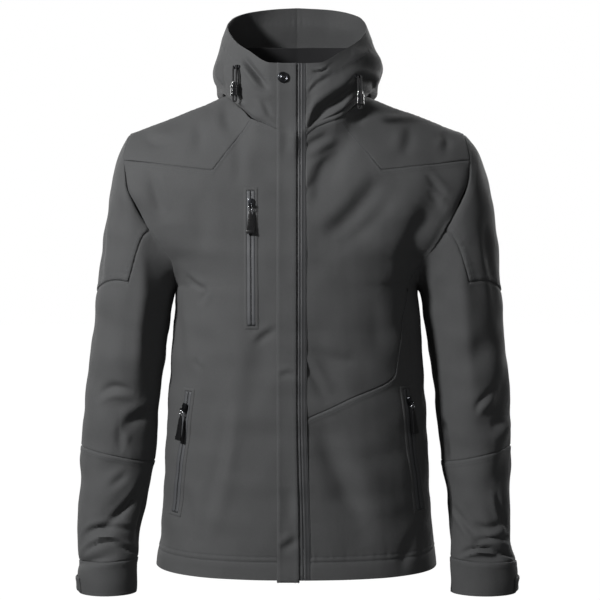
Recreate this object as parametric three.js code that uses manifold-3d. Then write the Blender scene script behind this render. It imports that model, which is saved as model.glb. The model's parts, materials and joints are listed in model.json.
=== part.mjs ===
// Hooded softshell jacket, men's size L, filled out as on a wearer who is not there.
// Millimetres, +Z up. The front faces -Y and the wearer's left is +X.
// Heights in the tables are above the side hem, and the group lowers them to the shoulders' origin.
import * as THREE from "three";
import { mergeVertices } from "three/addons/utils/BufferGeometryUtils.js";
import Module from "manifold-3d";

// Driving dimensions
const SHOULDERS_ABOVE_HEM = 680; // the origin, where the wearer's shoulders carry the jacket
const CLOTH = 1.6; // bonded softshell
const SEAM = 0.4; // room between two pieces at a seam
const SKIVE = 1.1; // how far a piece's inner edge stands back from its outer edge
const LAID = 0.7; // room under a piece that lies on a panel
const ARMHOLE_ROOM = 1; // the sleeve stands this far out of the armhole under the arm
const SQUARENESS = 2.25; // of the body's level sections, 2 is an ellipse
const DOME = 120; // height over which a panel rounds in to the shoulder line
const ZIP = { from: 4, to: 20, thick: 1.4 }; // across the chest, beside the storm flap
const FLAP = { from: -28.6, to: 4.8, below: 3, thick: 2.2 };
const ZIP_ROOM = 0.4; // between the zip and the cloth beside it
const HEM = { front: -5, side: 1 };

// One table: the first list names the columns, and each further list is a row.
function table(columns, ...rows) {
  return rows.map((row) => Object.fromEntries(columns.map((name, i) => [name, row[i]])));
}

// The body's level sections. Edges are the side seam up to the armpit, and the armhole above it.
const BODY = table(
  ["h", "front", "back", "frontEdge", "backEdge", "frontEdgeDepth", "backEdgeDepth"],
  [-20, 138, 124, 211, 211, 0, 0],
  [0, 137, 122, 209, 209, 0, 0],
  [40, 136, 120, 205, 205, 0, 0],
  [85, 135, 117, 200.5, 200.5, 0, 0],
  [150, 133, 113, 197.5, 197.5, 0, 0],
  [230, 131, 110, 194, 194, 0, 0],
  [300, 131, 111, 189.5, 189.5, 0, 0],
  [365, 132, 116, 185, 185, 0, 0],
  [412, 132, 120, 181, 181, 0, 0],
  [424, 131.5, 121, 179.5, 182, 34, 38],
  [452, 130, 122, 182, 190, 62, 70],
  [475, 128, 123, 198, 205, 73, 82],
  [500, 126, 123, 215, 219, 78, 88],
  [535, 122, 122, 237, 235, 80, 90],
  [570, 117, 119, 252, 247, 79, 88],
  [603, 110, 114, 256, 253, 75, 84],
  [643, 104, 108, 250, 250, 70, 78],
  [720, 100, 100, 250, 250, 66, 72],
);
const TIP = 250; // half the width over the shoulders
const TIP_HEIGHT = 643;
const SHOULDER_SLOPE = 0.385;
const NECK_POINT = 104; // where the shoulder line meets the hood
const ARMPIT = 412;
const YOKE_SIDE = 603;

// Seams on the front, as places across and up.
const YOKE_SEAM = table(["x", "h"], [66, 661], [122, 586], [180, 593], [256, YOKE_SIDE]);
const SLANT_SEAM = table(
  ["x", "h"], [ZIP.to, 226], [78, 254], [143, 290], [151, 349], [166, 420], [182, 452],
);
const NECK_FRONT = table(
  ["x", "h"], [0, 636], [30, 645], [48, 653], [66, 661], [84, 679], [NECK_POINT, 699.2],
);
const NECK_BACK = table(["x", "h"], [0, 680], [36, 682], [74, 689], [NECK_POINT, 699.2]);

// Rows of the panels, by their height at the side seam and up the armhole.
const SIDE_ROWS = [0, 40, 80, 120, 160, 200, 240, 280, 320, 365, ARMPIT];
const LOW_ARM_ROWS = [ARMPIT, 424, 452];
const MID_ARM_ROWS = [452, 475, 500, 535, 570, YOKE_SIDE];
const TOP_ARM_CELLS = 4;

// Sleeve rings from the armhole to the cuff: the point next to the body, the outer point, and the depth.
const RING = ["inX", "inH", "outX", "outH", "front", "back"];
const SLEEVE_RINGS = {
  right: table(
    RING,
    [181, 412, 250, 643, -78, 86],
    [184, 403, 268, 609, -82, 89],
    [187, 388, 279, 560, -83, 88],
    [190, 366, 288, 500, -81, 84],
    [194, 338, 297, 432, -78, 79],
    [201, 290, 306, 345, -75, 72],
    [207, 235, 317, 258, -72, 64],
    [214, 155, 323, 178, -68, 55],
    [226, 98, 324, 105, -71, 40],
    [236, 50, 328, 48, -76, 24],
    [237, 14, 324, 10, -80, 14],
    [238, -12, 326, -12, -80, 12],
    [239, -38, 323, -38, -79, 12],
  ),
  left: table(
    RING,
    [181, 412, 250, 643, -78, 86],
    [184, 403, 272, 612, -82, 89],
    [187, 388, 288, 565, -83, 88],
    [190, 366, 299, 500, -81, 84],
    [194, 338, 305, 432, -78, 79],
    [202, 290, 311, 345, -75, 72],
    [208, 235, 320, 258, -72, 64],
    [217, 155, 321, 178, -68, 55],
    [226, 98, 318, 105, -71, 40],
    [229, 50, 318, 48, -76, 24],
    [228.5, 14, 324, 10, -80, 14],
    [228.5, -12, 327, -12, -80, 12],
    [229, -38, 325, -38, -79, 12],
  ),
};
const ELBOW_RING = 7;
const CUFF_RING = 10;
const LAST_RING = 12;
const CAP = { startRow: 4, cornerTurn: 96, corner: 3.35, outer: 4.75, sideCells: 3 };

// The hood from the centre front (turn 0) to the centre back (turn 180), outer side of the cloth.
const HOOD = table(
  ["turn", "neckX", "dipX", "dipY", "dipH", "lowX", "lowY", "lowH",
    "bulgeX", "bulgeY", "bulgeH", "rimX", "rimY", "rimH"],
  [0, 0, 0, -105, 652, 0, -108, 672, 0, -111, 702, 0, -112, 739],
  [22, 34, 36, -103, 660, 37, -107, 678, 38, -110, 706, 38, -110, 740],
  [42, 66, 70, -91, 670, 73, -95, 685, 76, -96, 714, 69, -86, 759],
  [62, 85, 92, -66, 688, 97, -68, 700, 104, -66, 724, 90, -55, 776],
  [80, 101, 107, -24, 702, 113, -25, 711, 124, -22, 734, 103, -10, 799],
  [90, 104, 110, 0, 704, 116, 2, 712, 125, 6, 737, 104, 16, 807],
  [112, 97, 108, 54, 692, 118, 58, 702, 124, 62, 738, 99, 62, 823],
  [135, 74, 86, 102, 660, 100, 114, 674, 105, 116, 735, 77, 92, 835],
  [158, 37, 48, 125, 634, 56, 143, 656, 58, 148, 725, 42, 107, 842],
  [180, 0, 0, 130, 628, 0, 150, 651, 0, 157, 720, 0, 112, 845],
);
const HOOD_KNOTS = { dip: 0.26, low: 0.42, bulge: 0.66, rim: 1 };
const HOOD_ROLL = 9; // how high the cloth stands over the back of the neck seam before it falls
const HOOD_ROWS = [0, 0.1, 0.19, 0.27, 0.35, 0.44, 0.55, 0.66, 0.78, 0.9, 1];
const FRONT_BAND = 34; // half the width in which the hood meets the zip

// The stand collar behind the neck, inside the hood, from one side round the back to the other.
const STAND = table(
  ["turn", "topX", "topY", "topH"],
  [84, 101, -24, 764],
  [100, 100, 12, 771],
  [125, 82, 42, 776],
  [152, 45, 58, 778],
  [180, 0, 63, 778],
);
const STAND_INSIDE = 1.9; // from the neck seam in to the stand collar's outer side
const STAND_LIFT = 0.7; // its lower edge above the neck seam

// The widest folds, as soft troughs (depth above 0) or ridges (below 0) between two places on a panel.
const FOLD = ["x1", "h1", "x2", "h2", "depth", "width"];
const FRONT_FOLDS = table(
  FOLD,
  [-122, 285, -152, 60, 7, 26],
  [-80, 330, -112, 120, -4, 24],
  [-40, 385, -66, 260, 4, 20],
  [-205, 575, -188, 505, 5, 18],
  [44, 560, 74, 632, 7, 15],
  [48, 470, 150, 590, 5, 30],
  [190, 505, 205, 575, 6, 18],
  [165, 450, 172, 330, 6, 26],
  [34, 345, 60, 250, 4, 18],
  [42, 220, 96, 40, 8, 26],
  [84, 200, 130, 60, -4, 24],
);
const BACK_FOLDS = table(
  FOLD,
  [-150, 560, -70, 470, 5, 26],
  [152, 550, 84, 452, 6, 28],
  [-60, 300, -120, 140, 6, 26],
  [30, 330, 62, 120, 5, 28],
  [130, 290, 168, 120, 6, 24],
  [-10, 420, -40, 330, -4, 26],
);

// Folds of a sleeve, by the turn about it (90 is the front, 180 the outside) and the ring they cross.
const SLEEVE_FOLD = ["turn1", "ring1", "turn2", "ring2", "depth", "width"];
const SLEEVE_FOLDS = {
  right: table(
    SLEEVE_FOLD,
    [150, 4.9, 70, 4.4, 5, 22],
    [140, 5.7, 40, 6.3, 7, 20],
    [120, 7.4, 60, 7.1, 5, 16],
    [128, 9.2, 40, 7.7, 7, 18],
    [300, 5.4, 230, 6.4, 6, 22],
    [320, 8.9, 240, 7.6, 6, 20],
    [170, 10.2, 80, 9.7, 7, 14],
    [300, 9.7, 210, 10.1, 6, 14],
  ),
  left: table(
    SLEEVE_FOLD,
    [60, 5.1, 140, 4.9, 5, 20],
    [165, 5.6, 105, 6.4, 7, 18],
    [170, 6.9, 110, 7.6, 6, 18],
    [50, 8.1, 110, 9.5, 6, 18],
    [310, 5.2, 235, 6.2, 6, 22],
    [300, 8.7, 225, 7.7, 6, 20],
    [60, 9.9, 165, 9.6, 7, 14],
    [300, 10.1, 215, 9.7, 6, 14],
  ),
};

// Colours and finishes
const GREY_CLOTH = { color: 0x3c3e40, roughness: 0.86, metalness: 0 };
const INNER_CLOTH = { color: 0x121315, roughness: 0.95, metalness: 0 };
const ZIP_TAPE = { color: 0x2c2d2f, roughness: 0.6, metalness: 0 };
const GUNMETAL = { color: 0x3a3c40, roughness: 0.32, metalness: 0.9 };
const BLACK_RUBBER = { color: 0x0d0d0e, roughness: 0.55, metalness: 0 };
const CORD_BLACK = { color: 0x111112, roughness: 0.8, metalness: 0 };

const wasm = await Module();
wasm.setup();
const jacket = new THREE.Group();
jacket.position.z = -SHOULDERS_ABOVE_HEM;

const lerp = THREE.MathUtils.lerp;
const clamp = THREE.MathUtils.clamp;
const point = (x, y, z) => new THREE.Vector3(x, y, z);
const span = (cells) => Array.from({ length: cells + 1 }, (_, i) => i / cells);

// A table's column at a place between rows, on a smooth curve that never overshoots a row.
function read(rows, key, column, at) {
  const last = rows.length - 1;
  const place = clamp(at, rows[0][key], rows[last][key]);
  let i = 0;
  while (i < last - 1 && rows[i + 1][key] < place) i += 1;
  const slope = (k) => (rows[k + 1][column] - rows[k][column]) / (rows[k + 1][key] - rows[k][key]);
  const tangent = (k) => {
    if (k === 0) return slope(0);
    if (k === last) return slope(last - 1);
    const [a, b] = [slope(k - 1), slope(k)];
    return a * b <= 0 ? 0 : (2 * a * b) / (a + b);
  };
  const width = rows[i + 1][key] - rows[i][key];
  const t = (place - rows[i][key]) / width;
  const [t2, t3] = [t * t, t * t * t];
  return (2 * t3 - 3 * t2 + 1) * rows[i][column] + (t3 - 2 * t2 + t) * width * tangent(i)
    + (3 * t2 - 2 * t3) * rows[i + 1][column] + (t3 - t2) * width * tangent(i + 1);
}

// How far a table of folds pushes a place in: each fold is deepest along its line and fades at its ends.
function foldDepth(rows, a, b, keys) {
  let depth = 0;
  for (const row of rows) {
    const [a1, b1, a2, b2] = keys.map((key) => row[key]);
    const [da, db] = [a2 - a1, b2 - b1];
    const along = clamp(((a - a1) * da + (b - b1) * db) / (da * da + db * db), 0, 1);
    const off = Math.hypot(a - a1 - along * da, b - b1 - along * db);
    const fade = 0.35 + 0.65 * Math.sin(Math.PI * along);
    depth += row.depth * fade * Math.exp(-((off / row.width) ** 2));
  }
  return depth;
}

// The body
const STILL_EDGE = 0.12; // the share of a panel, next to its side edge, that no fold reaches
const crest = (x) => TIP_HEIGHT + (TIP - Math.abs(x)) * SHOULDER_SLOPE;
const foldsOf = { front: FRONT_FOLDS, back: BACK_FOLDS };

function section(face, h) {
  const depth = read(BODY, "h", face, h);
  const edge = read(BODY, "h", face + "Edge", h);
  const share = read(BODY, "h", face + "EdgeDepth", h) / depth;
  const width = edge / (1 - share ** SQUARENESS) ** (1 / SQUARENESS);
  return { depth, width, sweep: Math.asin(clamp(edge / width, 0, 1)) };
}

// How far across a place is, from 0 at the middle to 1 at the side seam or armhole.
function acrossOf(face, x, h) {
  const { width, sweep } = section(face, h);
  return Math.asin(clamp(x / width, -1, 1)) / sweep;
}

function body(face, across, h) {
  const { depth, width, sweep } = section(face, h);
  const x = width * Math.sin(across * sweep);
  const up = clamp((h - crest(x) + DOME) / DOME, 0, 1);
  const round = Math.sqrt(Math.max(0, 1 - up * up));
  const bow = Math.max(0, 1 - Math.abs(x / width) ** SQUARENESS) ** (1 / SQUARENESS);
  const still = clamp((1 - Math.abs(across)) / STILL_EDGE, 0, 1) * round;
  const fold = foldDepth(foldsOf[face], x, h, ["x1", "h1", "x2", "h2"]) * still;
  const y = depth * bow * round - fold;
  return point(x, face === "front" ? -y : y, h);
}

const hemHeight = (face, across) => (face === "back" ? HEM.side
  : lerp(HEM.front, HEM.side, Math.abs(across) ** 3));

// Points from a line of places, with a number of cells for each stretch between them.
function stretches(places, cells) {
  const out = [places[0]];
  cells.forEach((count, i) => {
    const [a, b] = [places[i], places[i + 1]];
    for (let k = 1; k <= count; k += 1) {
      out.push({ x: lerp(a.x, b.x, k / count), h: lerp(a.h, b.h, k / count) });
    }
  });
  return out;
}

// A panel between a lower and an upper line of places: each row is as high at the side as its row height.
function panelGrid(face, lower, upper, heights, sideFirst = false) {
  const bottom = lower.map((p) => ({ u: acrossOf(face, p.x, p.h), h: p.h }));
  const top = upper.map((p) => ({ u: acrossOf(face, p.x, p.h), h: p.h }));
  const side = sideFirst ? 0 : bottom.length - 1;
  const other = sideFirst ? bottom.length - 1 : 0;
  return heights.map((height) => {
    const v = (height - heights[0]) / (heights.at(-1) - heights[0]);
    return bottom.map((b, j) => {
      const t = top[j];
      const h = lerp(b.h, t.h, v);
      let u = lerp(b.u, t.u, v);
      if (j === side) u = Math.sign(b.u);
      if (j === other && Math.abs(lower[j].x) < 30) u = acrossOf(face, lower[j].x, h);
      return body(face, u, h);
    });
  });
}

// Closed walls from a grid of outer points, with its columns to the viewer's right and its rows up.
function normalsOf(grid, closed) {
  const [rows, cols] = [grid.length, grid[0].length];
  const at = (i, j) => grid[clamp(i, 0, rows - 1)][closed ? (j + cols) % cols : clamp(j, 0, cols - 1)];
  return grid.map((row, i) => row.map((_, j) => {
    const across = at(i, j + 1).clone().sub(at(i, j - 1));
    const up = at(i + 1, j).clone().sub(at(i - 1, j));
    return across.cross(up).normalize();
  }));
}

// Moves a grid's edges in along its surface by a distance, so that it stands clear of its neighbours.
function drawIn(grid, distance, closed) {
  const [rows, cols] = [grid.length, grid[0].length];
  const out = grid.map((row) => row.map((p) => p.clone()));
  const shift = (i, j, i2, j2) => {
    const way = grid[i2][j2].clone().sub(grid[i][j]);
    out[i][j].addScaledVector(way.normalize(), distance);
  };
  for (let j = 0; j < cols; j += 1) {
    shift(0, j, 1, j);
    shift(rows - 1, j, rows - 2, j);
  }
  for (let i = 0; !closed && i < rows; i += 1) {
    shift(i, 0, i, 1);
    shift(i, cols - 1, i, cols - 2);
  }
  return out;
}

function solidFromGrids(outer, inner, closed) {
  const [rows, cols] = [outer.length, outer[0].length];
  const positions = [...outer.flat(), ...inner.flat()].flatMap((p) => [p.x, p.y, p.z]);
  const index = [];
  const id = (layer, i, j) => layer * rows * cols + i * cols + (j % cols);
  const quad = (a, b, c, d) => index.push(a, b, c, a, c, d);
  const wide = closed ? cols : cols - 1;
  for (let i = 0; i < rows - 1; i += 1) {
    for (let j = 0; j < wide; j += 1) {
      quad(id(0, i, j), id(0, i, j + 1), id(0, i + 1, j + 1), id(0, i + 1, j));
      quad(id(1, i, j), id(1, i + 1, j), id(1, i + 1, j + 1), id(1, i, j + 1));
    }
    if (!closed) {
      quad(id(0, i, 0), id(0, i + 1, 0), id(1, i + 1, 0), id(1, i, 0));
      quad(id(0, i, cols - 1), id(1, i, cols - 1), id(1, i + 1, cols - 1), id(0, i + 1, cols - 1));
    }
  }
  for (let j = 0; j < wide; j += 1) {
    quad(id(0, 0, j), id(1, 0, j), id(1, 0, j + 1), id(0, 0, j + 1));
    const top = rows - 1;
    quad(id(0, top, j), id(0, top, j + 1), id(1, top, j + 1), id(1, top, j));
  }
  const geometry = new THREE.BufferGeometry();
  geometry.setAttribute("position", new THREE.Float32BufferAttribute(positions, 3));
  geometry.setIndex(index);
  return geometry;
}

function wall(grid, { thick = CLOTH, closed = false, seam = SEAM, skive = SKIVE } = {}) {
  const normals = normalsOf(grid, closed);
  const outer = drawIn(grid, seam / 2, closed);
  const inset = drawIn(grid, seam / 2 + skive, closed);
  const inner = inset.map((row, i) => row.map((p, j) => p.addScaledVector(normals[i][j], -thick)));
  return solidFromGrids(outer, inner, closed);
}

// A strip that lies on a surface: the surface's own points, moved out by the room and by the thickness.
function laidStrip(grid, thick, room = LAID) {
  const normals = normalsOf(grid, false);
  const moved = (by) => grid.map((row, i) => row.map((p, j) => (
    p.clone().addScaledVector(normals[i][j], by)
  )));
  return solidFromGrids(moved(room + thick), moved(room), false);
}

function add(name, geometry, finish) {
  const mesh = new THREE.Mesh(geometry, new THREE.MeshStandardMaterial(finish));
  mesh.name = name;
  jacket.add(mesh);
  return mesh;
}

const mirrorPlaces = (places) => places.map((p) => ({ ...p, x: -p.x })).reverse();

// Fronts, yokes and back
const HEM_CELLS = 15;
const SLANT_CELLS = [3, 4, 3, 3, 2];
const upperRows = [...LOW_ARM_ROWS, ...MID_ARM_ROWS.slice(1)];
const frontRows = [...SIDE_ROWS, ...upperRows.slice(1)];
const neckPlaces = (edge) => [
  { x: edge, h: read(NECK_FRONT, "x", "h", Math.abs(edge)) },
  { x: 34, h: read(NECK_FRONT, "x", "h", 34) },
  YOKE_SEAM[0],
];
const yokeCells = [4, 3, 4];
const frontTop = (edge) => stretches([...neckPlaces(edge), ...YOKE_SEAM.slice(1)], [2, 2, ...yokeCells]);
const hemLine = (edge) => span(HEM_CELLS).map((s) => {
  const across = lerp(acrossOf("front", edge, 0), 1, s);
  return { x: body("front", across, 0).x, h: hemHeight("front", across) };
});

const rightEdge = ZIP.from - ZIP_ROOM;
const leftEdge = ZIP.to + ZIP_ROOM;
const rightLower = hemLine(0).map((p, j) => (j === 0 ? { ...p, x: -rightEdge } : p));
const rightUpper = frontTop(0).map((p, j) => (j === 0 ? { ...p, x: -rightEdge } : p));
const frontRightGrid = panelGrid(
  "front", mirrorPlaces(rightLower), mirrorPlaces(rightUpper), frontRows, true,
);
add("front_right", wall(frontRightGrid), GREY_CLOTH);

const slantLine = stretches([{ x: leftEdge, h: SLANT_SEAM[0].h }, ...SLANT_SEAM.slice(1)], SLANT_CELLS);
const lowerRows = [...SIDE_ROWS, ...LOW_ARM_ROWS.slice(1)];
const frontLeftLowerGrid = panelGrid("front", hemLine(leftEdge), slantLine, lowerRows);
const frontLeftUpperGrid = panelGrid("front", slantLine, frontTop(leftEdge), MID_ARM_ROWS);
add("front_left_lower", wall(frontLeftLowerGrid), GREY_CLOTH);
add("front_left_upper", wall(frontLeftUpperGrid), GREY_CLOTH);

const topRise = span(TOP_ARM_CELLS).map((v) => Math.sin((v * Math.PI) / 2));
const armTop = topRise.map((r) => lerp(YOKE_SIDE, TIP_HEIGHT, r));

function yokeGrid() {
  const lower = stretches(YOKE_SEAM, yokeCells);
  const cells = lower.length - 1;
  return topRise.map((rise) => lower.map((low, j) => {
    const x = lerp(low.x, lerp(NECK_POINT, TIP, j / cells), rise);
    const h = j === 0 ? read(NECK_FRONT, "x", "h", x) : lerp(low.h, crest(x), rise);
    if (j === cells) return body("front", 1, lerp(YOKE_SIDE, TIP_HEIGHT, rise));
    return body("front", acrossOf("front", x, h), h);
  }));
}
const mirrored = (grid) => grid.map((row) => row.map((p) => point(-p.x, p.y, p.z)).reverse());
const leftYoke = yokeGrid();
add("yoke_left", wall(leftYoke), GREY_CLOTH);
add("yoke_right", wall(mirrored(leftYoke)), GREY_CLOTH);

function backGrid() {
  const half = stretches(
    [...NECK_BACK, { x: TIP, h: TIP_HEIGHT }].map((p) => ({ ...p, x: -p.x })),
    [2, 2, 2, 5],
  );
  const top = [...half.map((p) => ({ ...p, x: -p.x })).reverse(), ...half.slice(1)];
  const heights = [...frontRows, ...armTop.slice(1)];
  return heights.map((height, i) => {
    const v = (height - heights[0]) / (heights.at(-1) - heights[0]);
    return top.map((t, j) => {
      const u0 = lerp(1, -1, j / (top.length - 1));
      const edge = j === 0 || j === top.length - 1;
      const u = edge ? u0 : lerp(u0, acrossOf("back", t.x, t.h), v);
      const lowest = i === 0 ? HEM.side : heights[0];
      return body("back", u, lerp(lowest, t.h, v));
    });
  });
}
const backPanel = backGrid();
add("back", wall(backPanel), GREY_CLOTH);

// Sleeves
function armholeLoop() {
  const heights = [...upperRows, ...armTop.slice(1)];
  const front = heights.map((h) => body("front", 1, h));
  const back = heights.map((h) => body("back", 1, h));
  const turns = (points) => {
    const run = [0];
    for (let k = 1; k < points.length; k += 1) run.push(run[k - 1] + points[k].distanceTo(points[k - 1]));
    return run.map((r) => (180 * r) / run.at(-1));
  };
  const [frontTurns, backTurns] = [turns(front), turns(back)];
  const places = front.map((p, k) => ({ turn: frontTurns[k], x: p.x, y: p.y, z: p.z }));
  for (let k = back.length - 2; k > 0; k -= 1) {
    places.push({ turn: 360 - backTurns[k], x: back[k].x, y: back[k].y, z: back[k].z });
  }
  return places;
}
const LOOP = armholeLoop();
const LOOP_ROUND = [...LOOP, { ...LOOP[0], turn: 360 }];

function ringPoint(ring, turn) {
  const a = THREE.MathUtils.degToRad(turn);
  const out = (1 - Math.cos(a)) / 2;
  const depth = Math.sin(a) >= 0 ? ring.front : ring.back;
  const middle = (ring.front + ring.back) / 2;
  const half = Math.abs(depth - middle);
  const y = middle - Math.sin(a) * half;
  return point(lerp(ring.inX, ring.outX, out), y, lerp(ring.inH, ring.outH, out));
}

function ringAt(rings, t) {
  const rows = rings.map((row, i) => ({ i, ...row }));
  return Object.fromEntries(RING.map((name) => [name, read(rows, "i", name, t)]));
}

const HOLD_RINGS = 3.2; // rings over which the sleeve leaves the armhole's own shape
const STILL_RINGS = { top: 0.8, end: 0.6 }; // rings at its two ends that no fold reaches
const SLEEVE_MM = { turn: 1.15, ring: 58 }; // one degree about the sleeve, and one ring down it

// A place on a sleeve, by the turn about it and how far down it is in rings.
function sleeve(side, turn, t) {
  const rings = SLEEVE_RINGS[side];
  const round = ((turn % 360) + 360) % 360;
  const p = ringPoint(ringAt(rings, t), round);
  const first = ringPoint(rings[0], round);
  const hold = clamp(1 - t / HOLD_RINGS, 0, 1) ** 2;
  const edge = ["x", "y", "z"].map((axis) => read(LOOP_ROUND, "turn", axis, round));
  p.addScaledVector(point(...edge).sub(first), hold);
  p.x += ARMHOLE_ROOM * hold * ((1 + Math.cos(THREE.MathUtils.degToRad(round))) / 2);
  const ring = ringAt(rings, t);
  const centre = point((ring.inX + ring.outX) / 2, (ring.front + ring.back) / 2, (ring.inH + ring.outH) / 2);
  const still = clamp(t / STILL_RINGS.top, 0, 1) * clamp((LAST_RING - t) / STILL_RINGS.end, 0, 1);
  const { turn: wide, ring: long } = SLEEVE_MM;
  const rows = SLEEVE_FOLDS[side].map((row) => ({
    a1: row.turn1 * wide, b1: row.ring1 * long, a2: row.turn2 * wide, b2: row.ring2 * long,
    depth: row.depth, width: row.width,
  }));
  const fold = foldDepth(rows, round * wide, t * long, ["a1", "b1", "a2", "b2"]) * still;
  const inward = centre.sub(p).normalize();
  p.addScaledVector(inward, fold);
  return side === "right" ? point(-p.x, p.y, p.z) : p;
}

// A grid's columns have to run to the viewer's right, which is the other way round on the wearer's right.
function sleeveGrid(side, rows) {
  const up = rows.map((row) => row.map(([turn, t]) => sleeve(side, turn, t))).reverse();
  return side === "right" ? up.map((row) => row.slice().reverse()) : up;
}

const capLoop = LOOP.slice(CAP.startRow, LOOP.length - CAP.startRow + 1);
const capTurns = capLoop.map((p) => p.turn);

function capLine(turn) {
  const away = Math.abs(turn - 180) / (180 - CAP.cornerTurn);
  return lerp(CAP.outer, CAP.corner, clamp(away, 0, 1) ** 1.5);
}

function capGrid(side) {
  const [first, last] = [capTurns[0], capTurns.at(-1)];
  return sleeveGrid(side, span(CAP.sideCells).map((v) => capTurns.map((turn) => {
    const s = (turn - first) / (last - first);
    const low = lerp(CAP.cornerTurn, 360 - CAP.cornerTurn, s);
    return [lerp(turn, low, v), capLine(low) * v];
  })));
}

function upperSleeveGrid(side) {
  const line = [];
  const start = LOOP.length - CAP.startRow;
  for (let k = start; k < LOOP.length; k += 1) line.push([LOOP[k].turn - 360, 0]);
  for (let k = 0; k <= CAP.startRow; k += 1) line.push([LOOP[k].turn, 0]);
  const [first, last] = [capTurns[0], capTurns.at(-1)];
  for (let k = 1; k < CAP.sideCells; k += 1) {
    const v = k / CAP.sideCells;
    line.push([lerp(first, CAP.cornerTurn, v), CAP.corner * v]);
  }
  for (const turn of capTurns) {
    const low = lerp(CAP.cornerTurn, 360 - CAP.cornerTurn, (turn - first) / (last - first));
    line.push([low, capLine(low)]);
  }
  for (let k = CAP.sideCells - 1; k > 0; k -= 1) {
    const v = k / CAP.sideCells;
    line.push([lerp(last, 360 - CAP.cornerTurn, v), CAP.corner * v]);
  }
  const from = line[0][0];
  return sleeveGrid(side, span(6).map((v) => line.map(([turn, t], j) => {
    const even = from + (360 * j) / line.length;
    return [lerp(turn, even, v), lerp(t, ELBOW_RING, v)];
  })));
}

function tubeGrid(side, from, to, cells, around = 22) {
  return sleeveGrid(side, span(cells).map((v) => Array.from({ length: around }, (_, j) => (
    [(360 * j) / around, lerp(from, to, v)]
  ))));
}

for (const side of ["right", "left"]) {
  add(`sleeve_cap_${side}`, wall(capGrid(side)), GREY_CLOTH);
  add(`sleeve_upper_${side}`, wall(upperSleeveGrid(side), { closed: true, seam: 0.8 }), GREY_CLOTH);
  const lower = tubeGrid(side, ELBOW_RING, CUFF_RING, 6);
  add(`sleeve_lower_${side}`, wall(lower, { closed: true, seam: 0.9 }), GREY_CLOTH);
  const cuff = tubeGrid(side, CUFF_RING, LAST_RING, 3);
  add(`cuff_${side}`, wall(cuff, { closed: true, thick: 2.2 }), GREY_CLOTH);
  const tab = span(2).map((v) => span(6).map((s) => [lerp(150, 262, s), lerp(11.05, 11.9, v)]));
  add(`cuff_tab_${side}`, laidStrip(sleeveGrid(side, tab), 1.8), GREY_CLOTH);
}

// Hood and stand collar
const HOOD_POINTS = ["dip", "low", "bulge", "rim"];

// At the front the two halves of the hood start beside the zip, which isn't in the middle.
function hoodX(side, x, turn) {
  if (x >= FRONT_BAND || turn > 90) return side * x;
  const edge = side > 0 ? leftEdge : rightEdge;
  return lerp(edge, side * FRONT_BAND, x / FRONT_BAND);
}

function hood(side, turn, v) {
  const face = turn <= 90 ? "front" : "back";
  const neckX = read(HOOD, "turn", "neckX", turn);
  const neckH = read(face === "front" ? NECK_FRONT : NECK_BACK, "x", "h", neckX);
  const neckY = body(face, acrossOf(face, neckX, neckH), neckH).y;
  const behind = clamp((turn - 80) / 40, 0, 1);
  const knots = [{ v: 0, x: neckX, y: neckY, z: neckH + 1.5 * behind }];
  for (const name of HOOD_POINTS) {
    const [x, y, z] = ["X", "Y", "H"].map((axis) => read(HOOD, "turn", name + axis, turn));
    knots.push({ v: HOOD_KNOTS[name], x, y, z });
  }
  const [x, y, z] = ["x", "y", "z"].map((axis) => read(knots, "v", axis, v));
  const roll = HOOD_ROLL * behind * Math.sin(Math.PI * clamp(v / HOOD_KNOTS.dip, 0, 1));
  return point(hoodX(side, x, turn), y, z + roll);
}

const HOOD_TURNS = [0, 11, 22, 32, 42, 52, 62, 71, 80, 90, 101, 112, 123, 135, 147, 158, 169, 180];
function hoodGrid(side) {
  const sign = side === "left" ? 1 : -1;
  return HOOD_ROWS.map((v) => {
    const row = HOOD_TURNS.map((turn) => hood(sign, turn, v));
    return side === "left" ? row : row.reverse();
  });
}
const hoodGrids = { left: hoodGrid("left"), right: hoodGrid("right") };
for (const side of ["left", "right"]) add(`hood_${side}`, wall(hoodGrids[side], { seam: 0.9 }), GREY_CLOTH);

function standGrid() {
  const turns = span(16).map((s) => lerp(STAND[0].turn, 360 - STAND[0].turn, s));
  return span(3).map((v) => turns.map((turn) => {
    const half = turn > 180 ? 360 - turn : turn;
    const sign = turn > 180 ? -1 : 1;
    const at = (name) => read(STAND, "turn", name, half);
    const base = hood(1, half, 0);
    const inward = point(base.x, base.y, 0).normalize();
    base.addScaledVector(inward, -STAND_INSIDE);
    const y = lerp(base.y, at("topY"), v * v);
    return point(sign * lerp(base.x, at("topX"), v), y, lerp(base.z + STAND_LIFT, at("topH"), v));
  }));
}
add("stand_collar", wall(standGrid(), { thick: 2 }), INNER_CLOTH);

// Storm flap and front zip, up the front edge of the right panel and of the hood above it
function onRow(row, x) {
  let j = 0;
  while (j < row.length - 2 && row[j + 1].x < x) j += 1;
  const t = clamp((x - row[j].x) / (row[j + 1].x - row[j].x), 0, 1);
  const p = row[j].clone().lerp(row[j + 1], t);
  return point(x, p.y, p.z);
}

function frontRun(x0, x1, cells) {
  const across = span(cells).map((s) => lerp(x0, x1, s));
  const collar = hoodGrids.right.slice(1).map((row) => row.slice(-5));
  const rows = [...frontRightGrid, ...collar];
  return rows.map((row) => across.map((x) => onRow(row, x)));
}
const flapGrid = frontRun(FLAP.from, FLAP.to, 3);
for (const p of flapGrid[0]) p.z -= FLAP.below;
add("storm_flap", laidStrip(flapGrid, FLAP.thick), GREY_CLOTH);
const zipGrid = frontRun(ZIP.from + ZIP_ROOM / 2, ZIP.to - ZIP_ROOM / 2, 2);
add("front_zip", wall(zipGrid, { thick: ZIP.thick, seam: 0, skive: 0 }), ZIP_TAPE);

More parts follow.
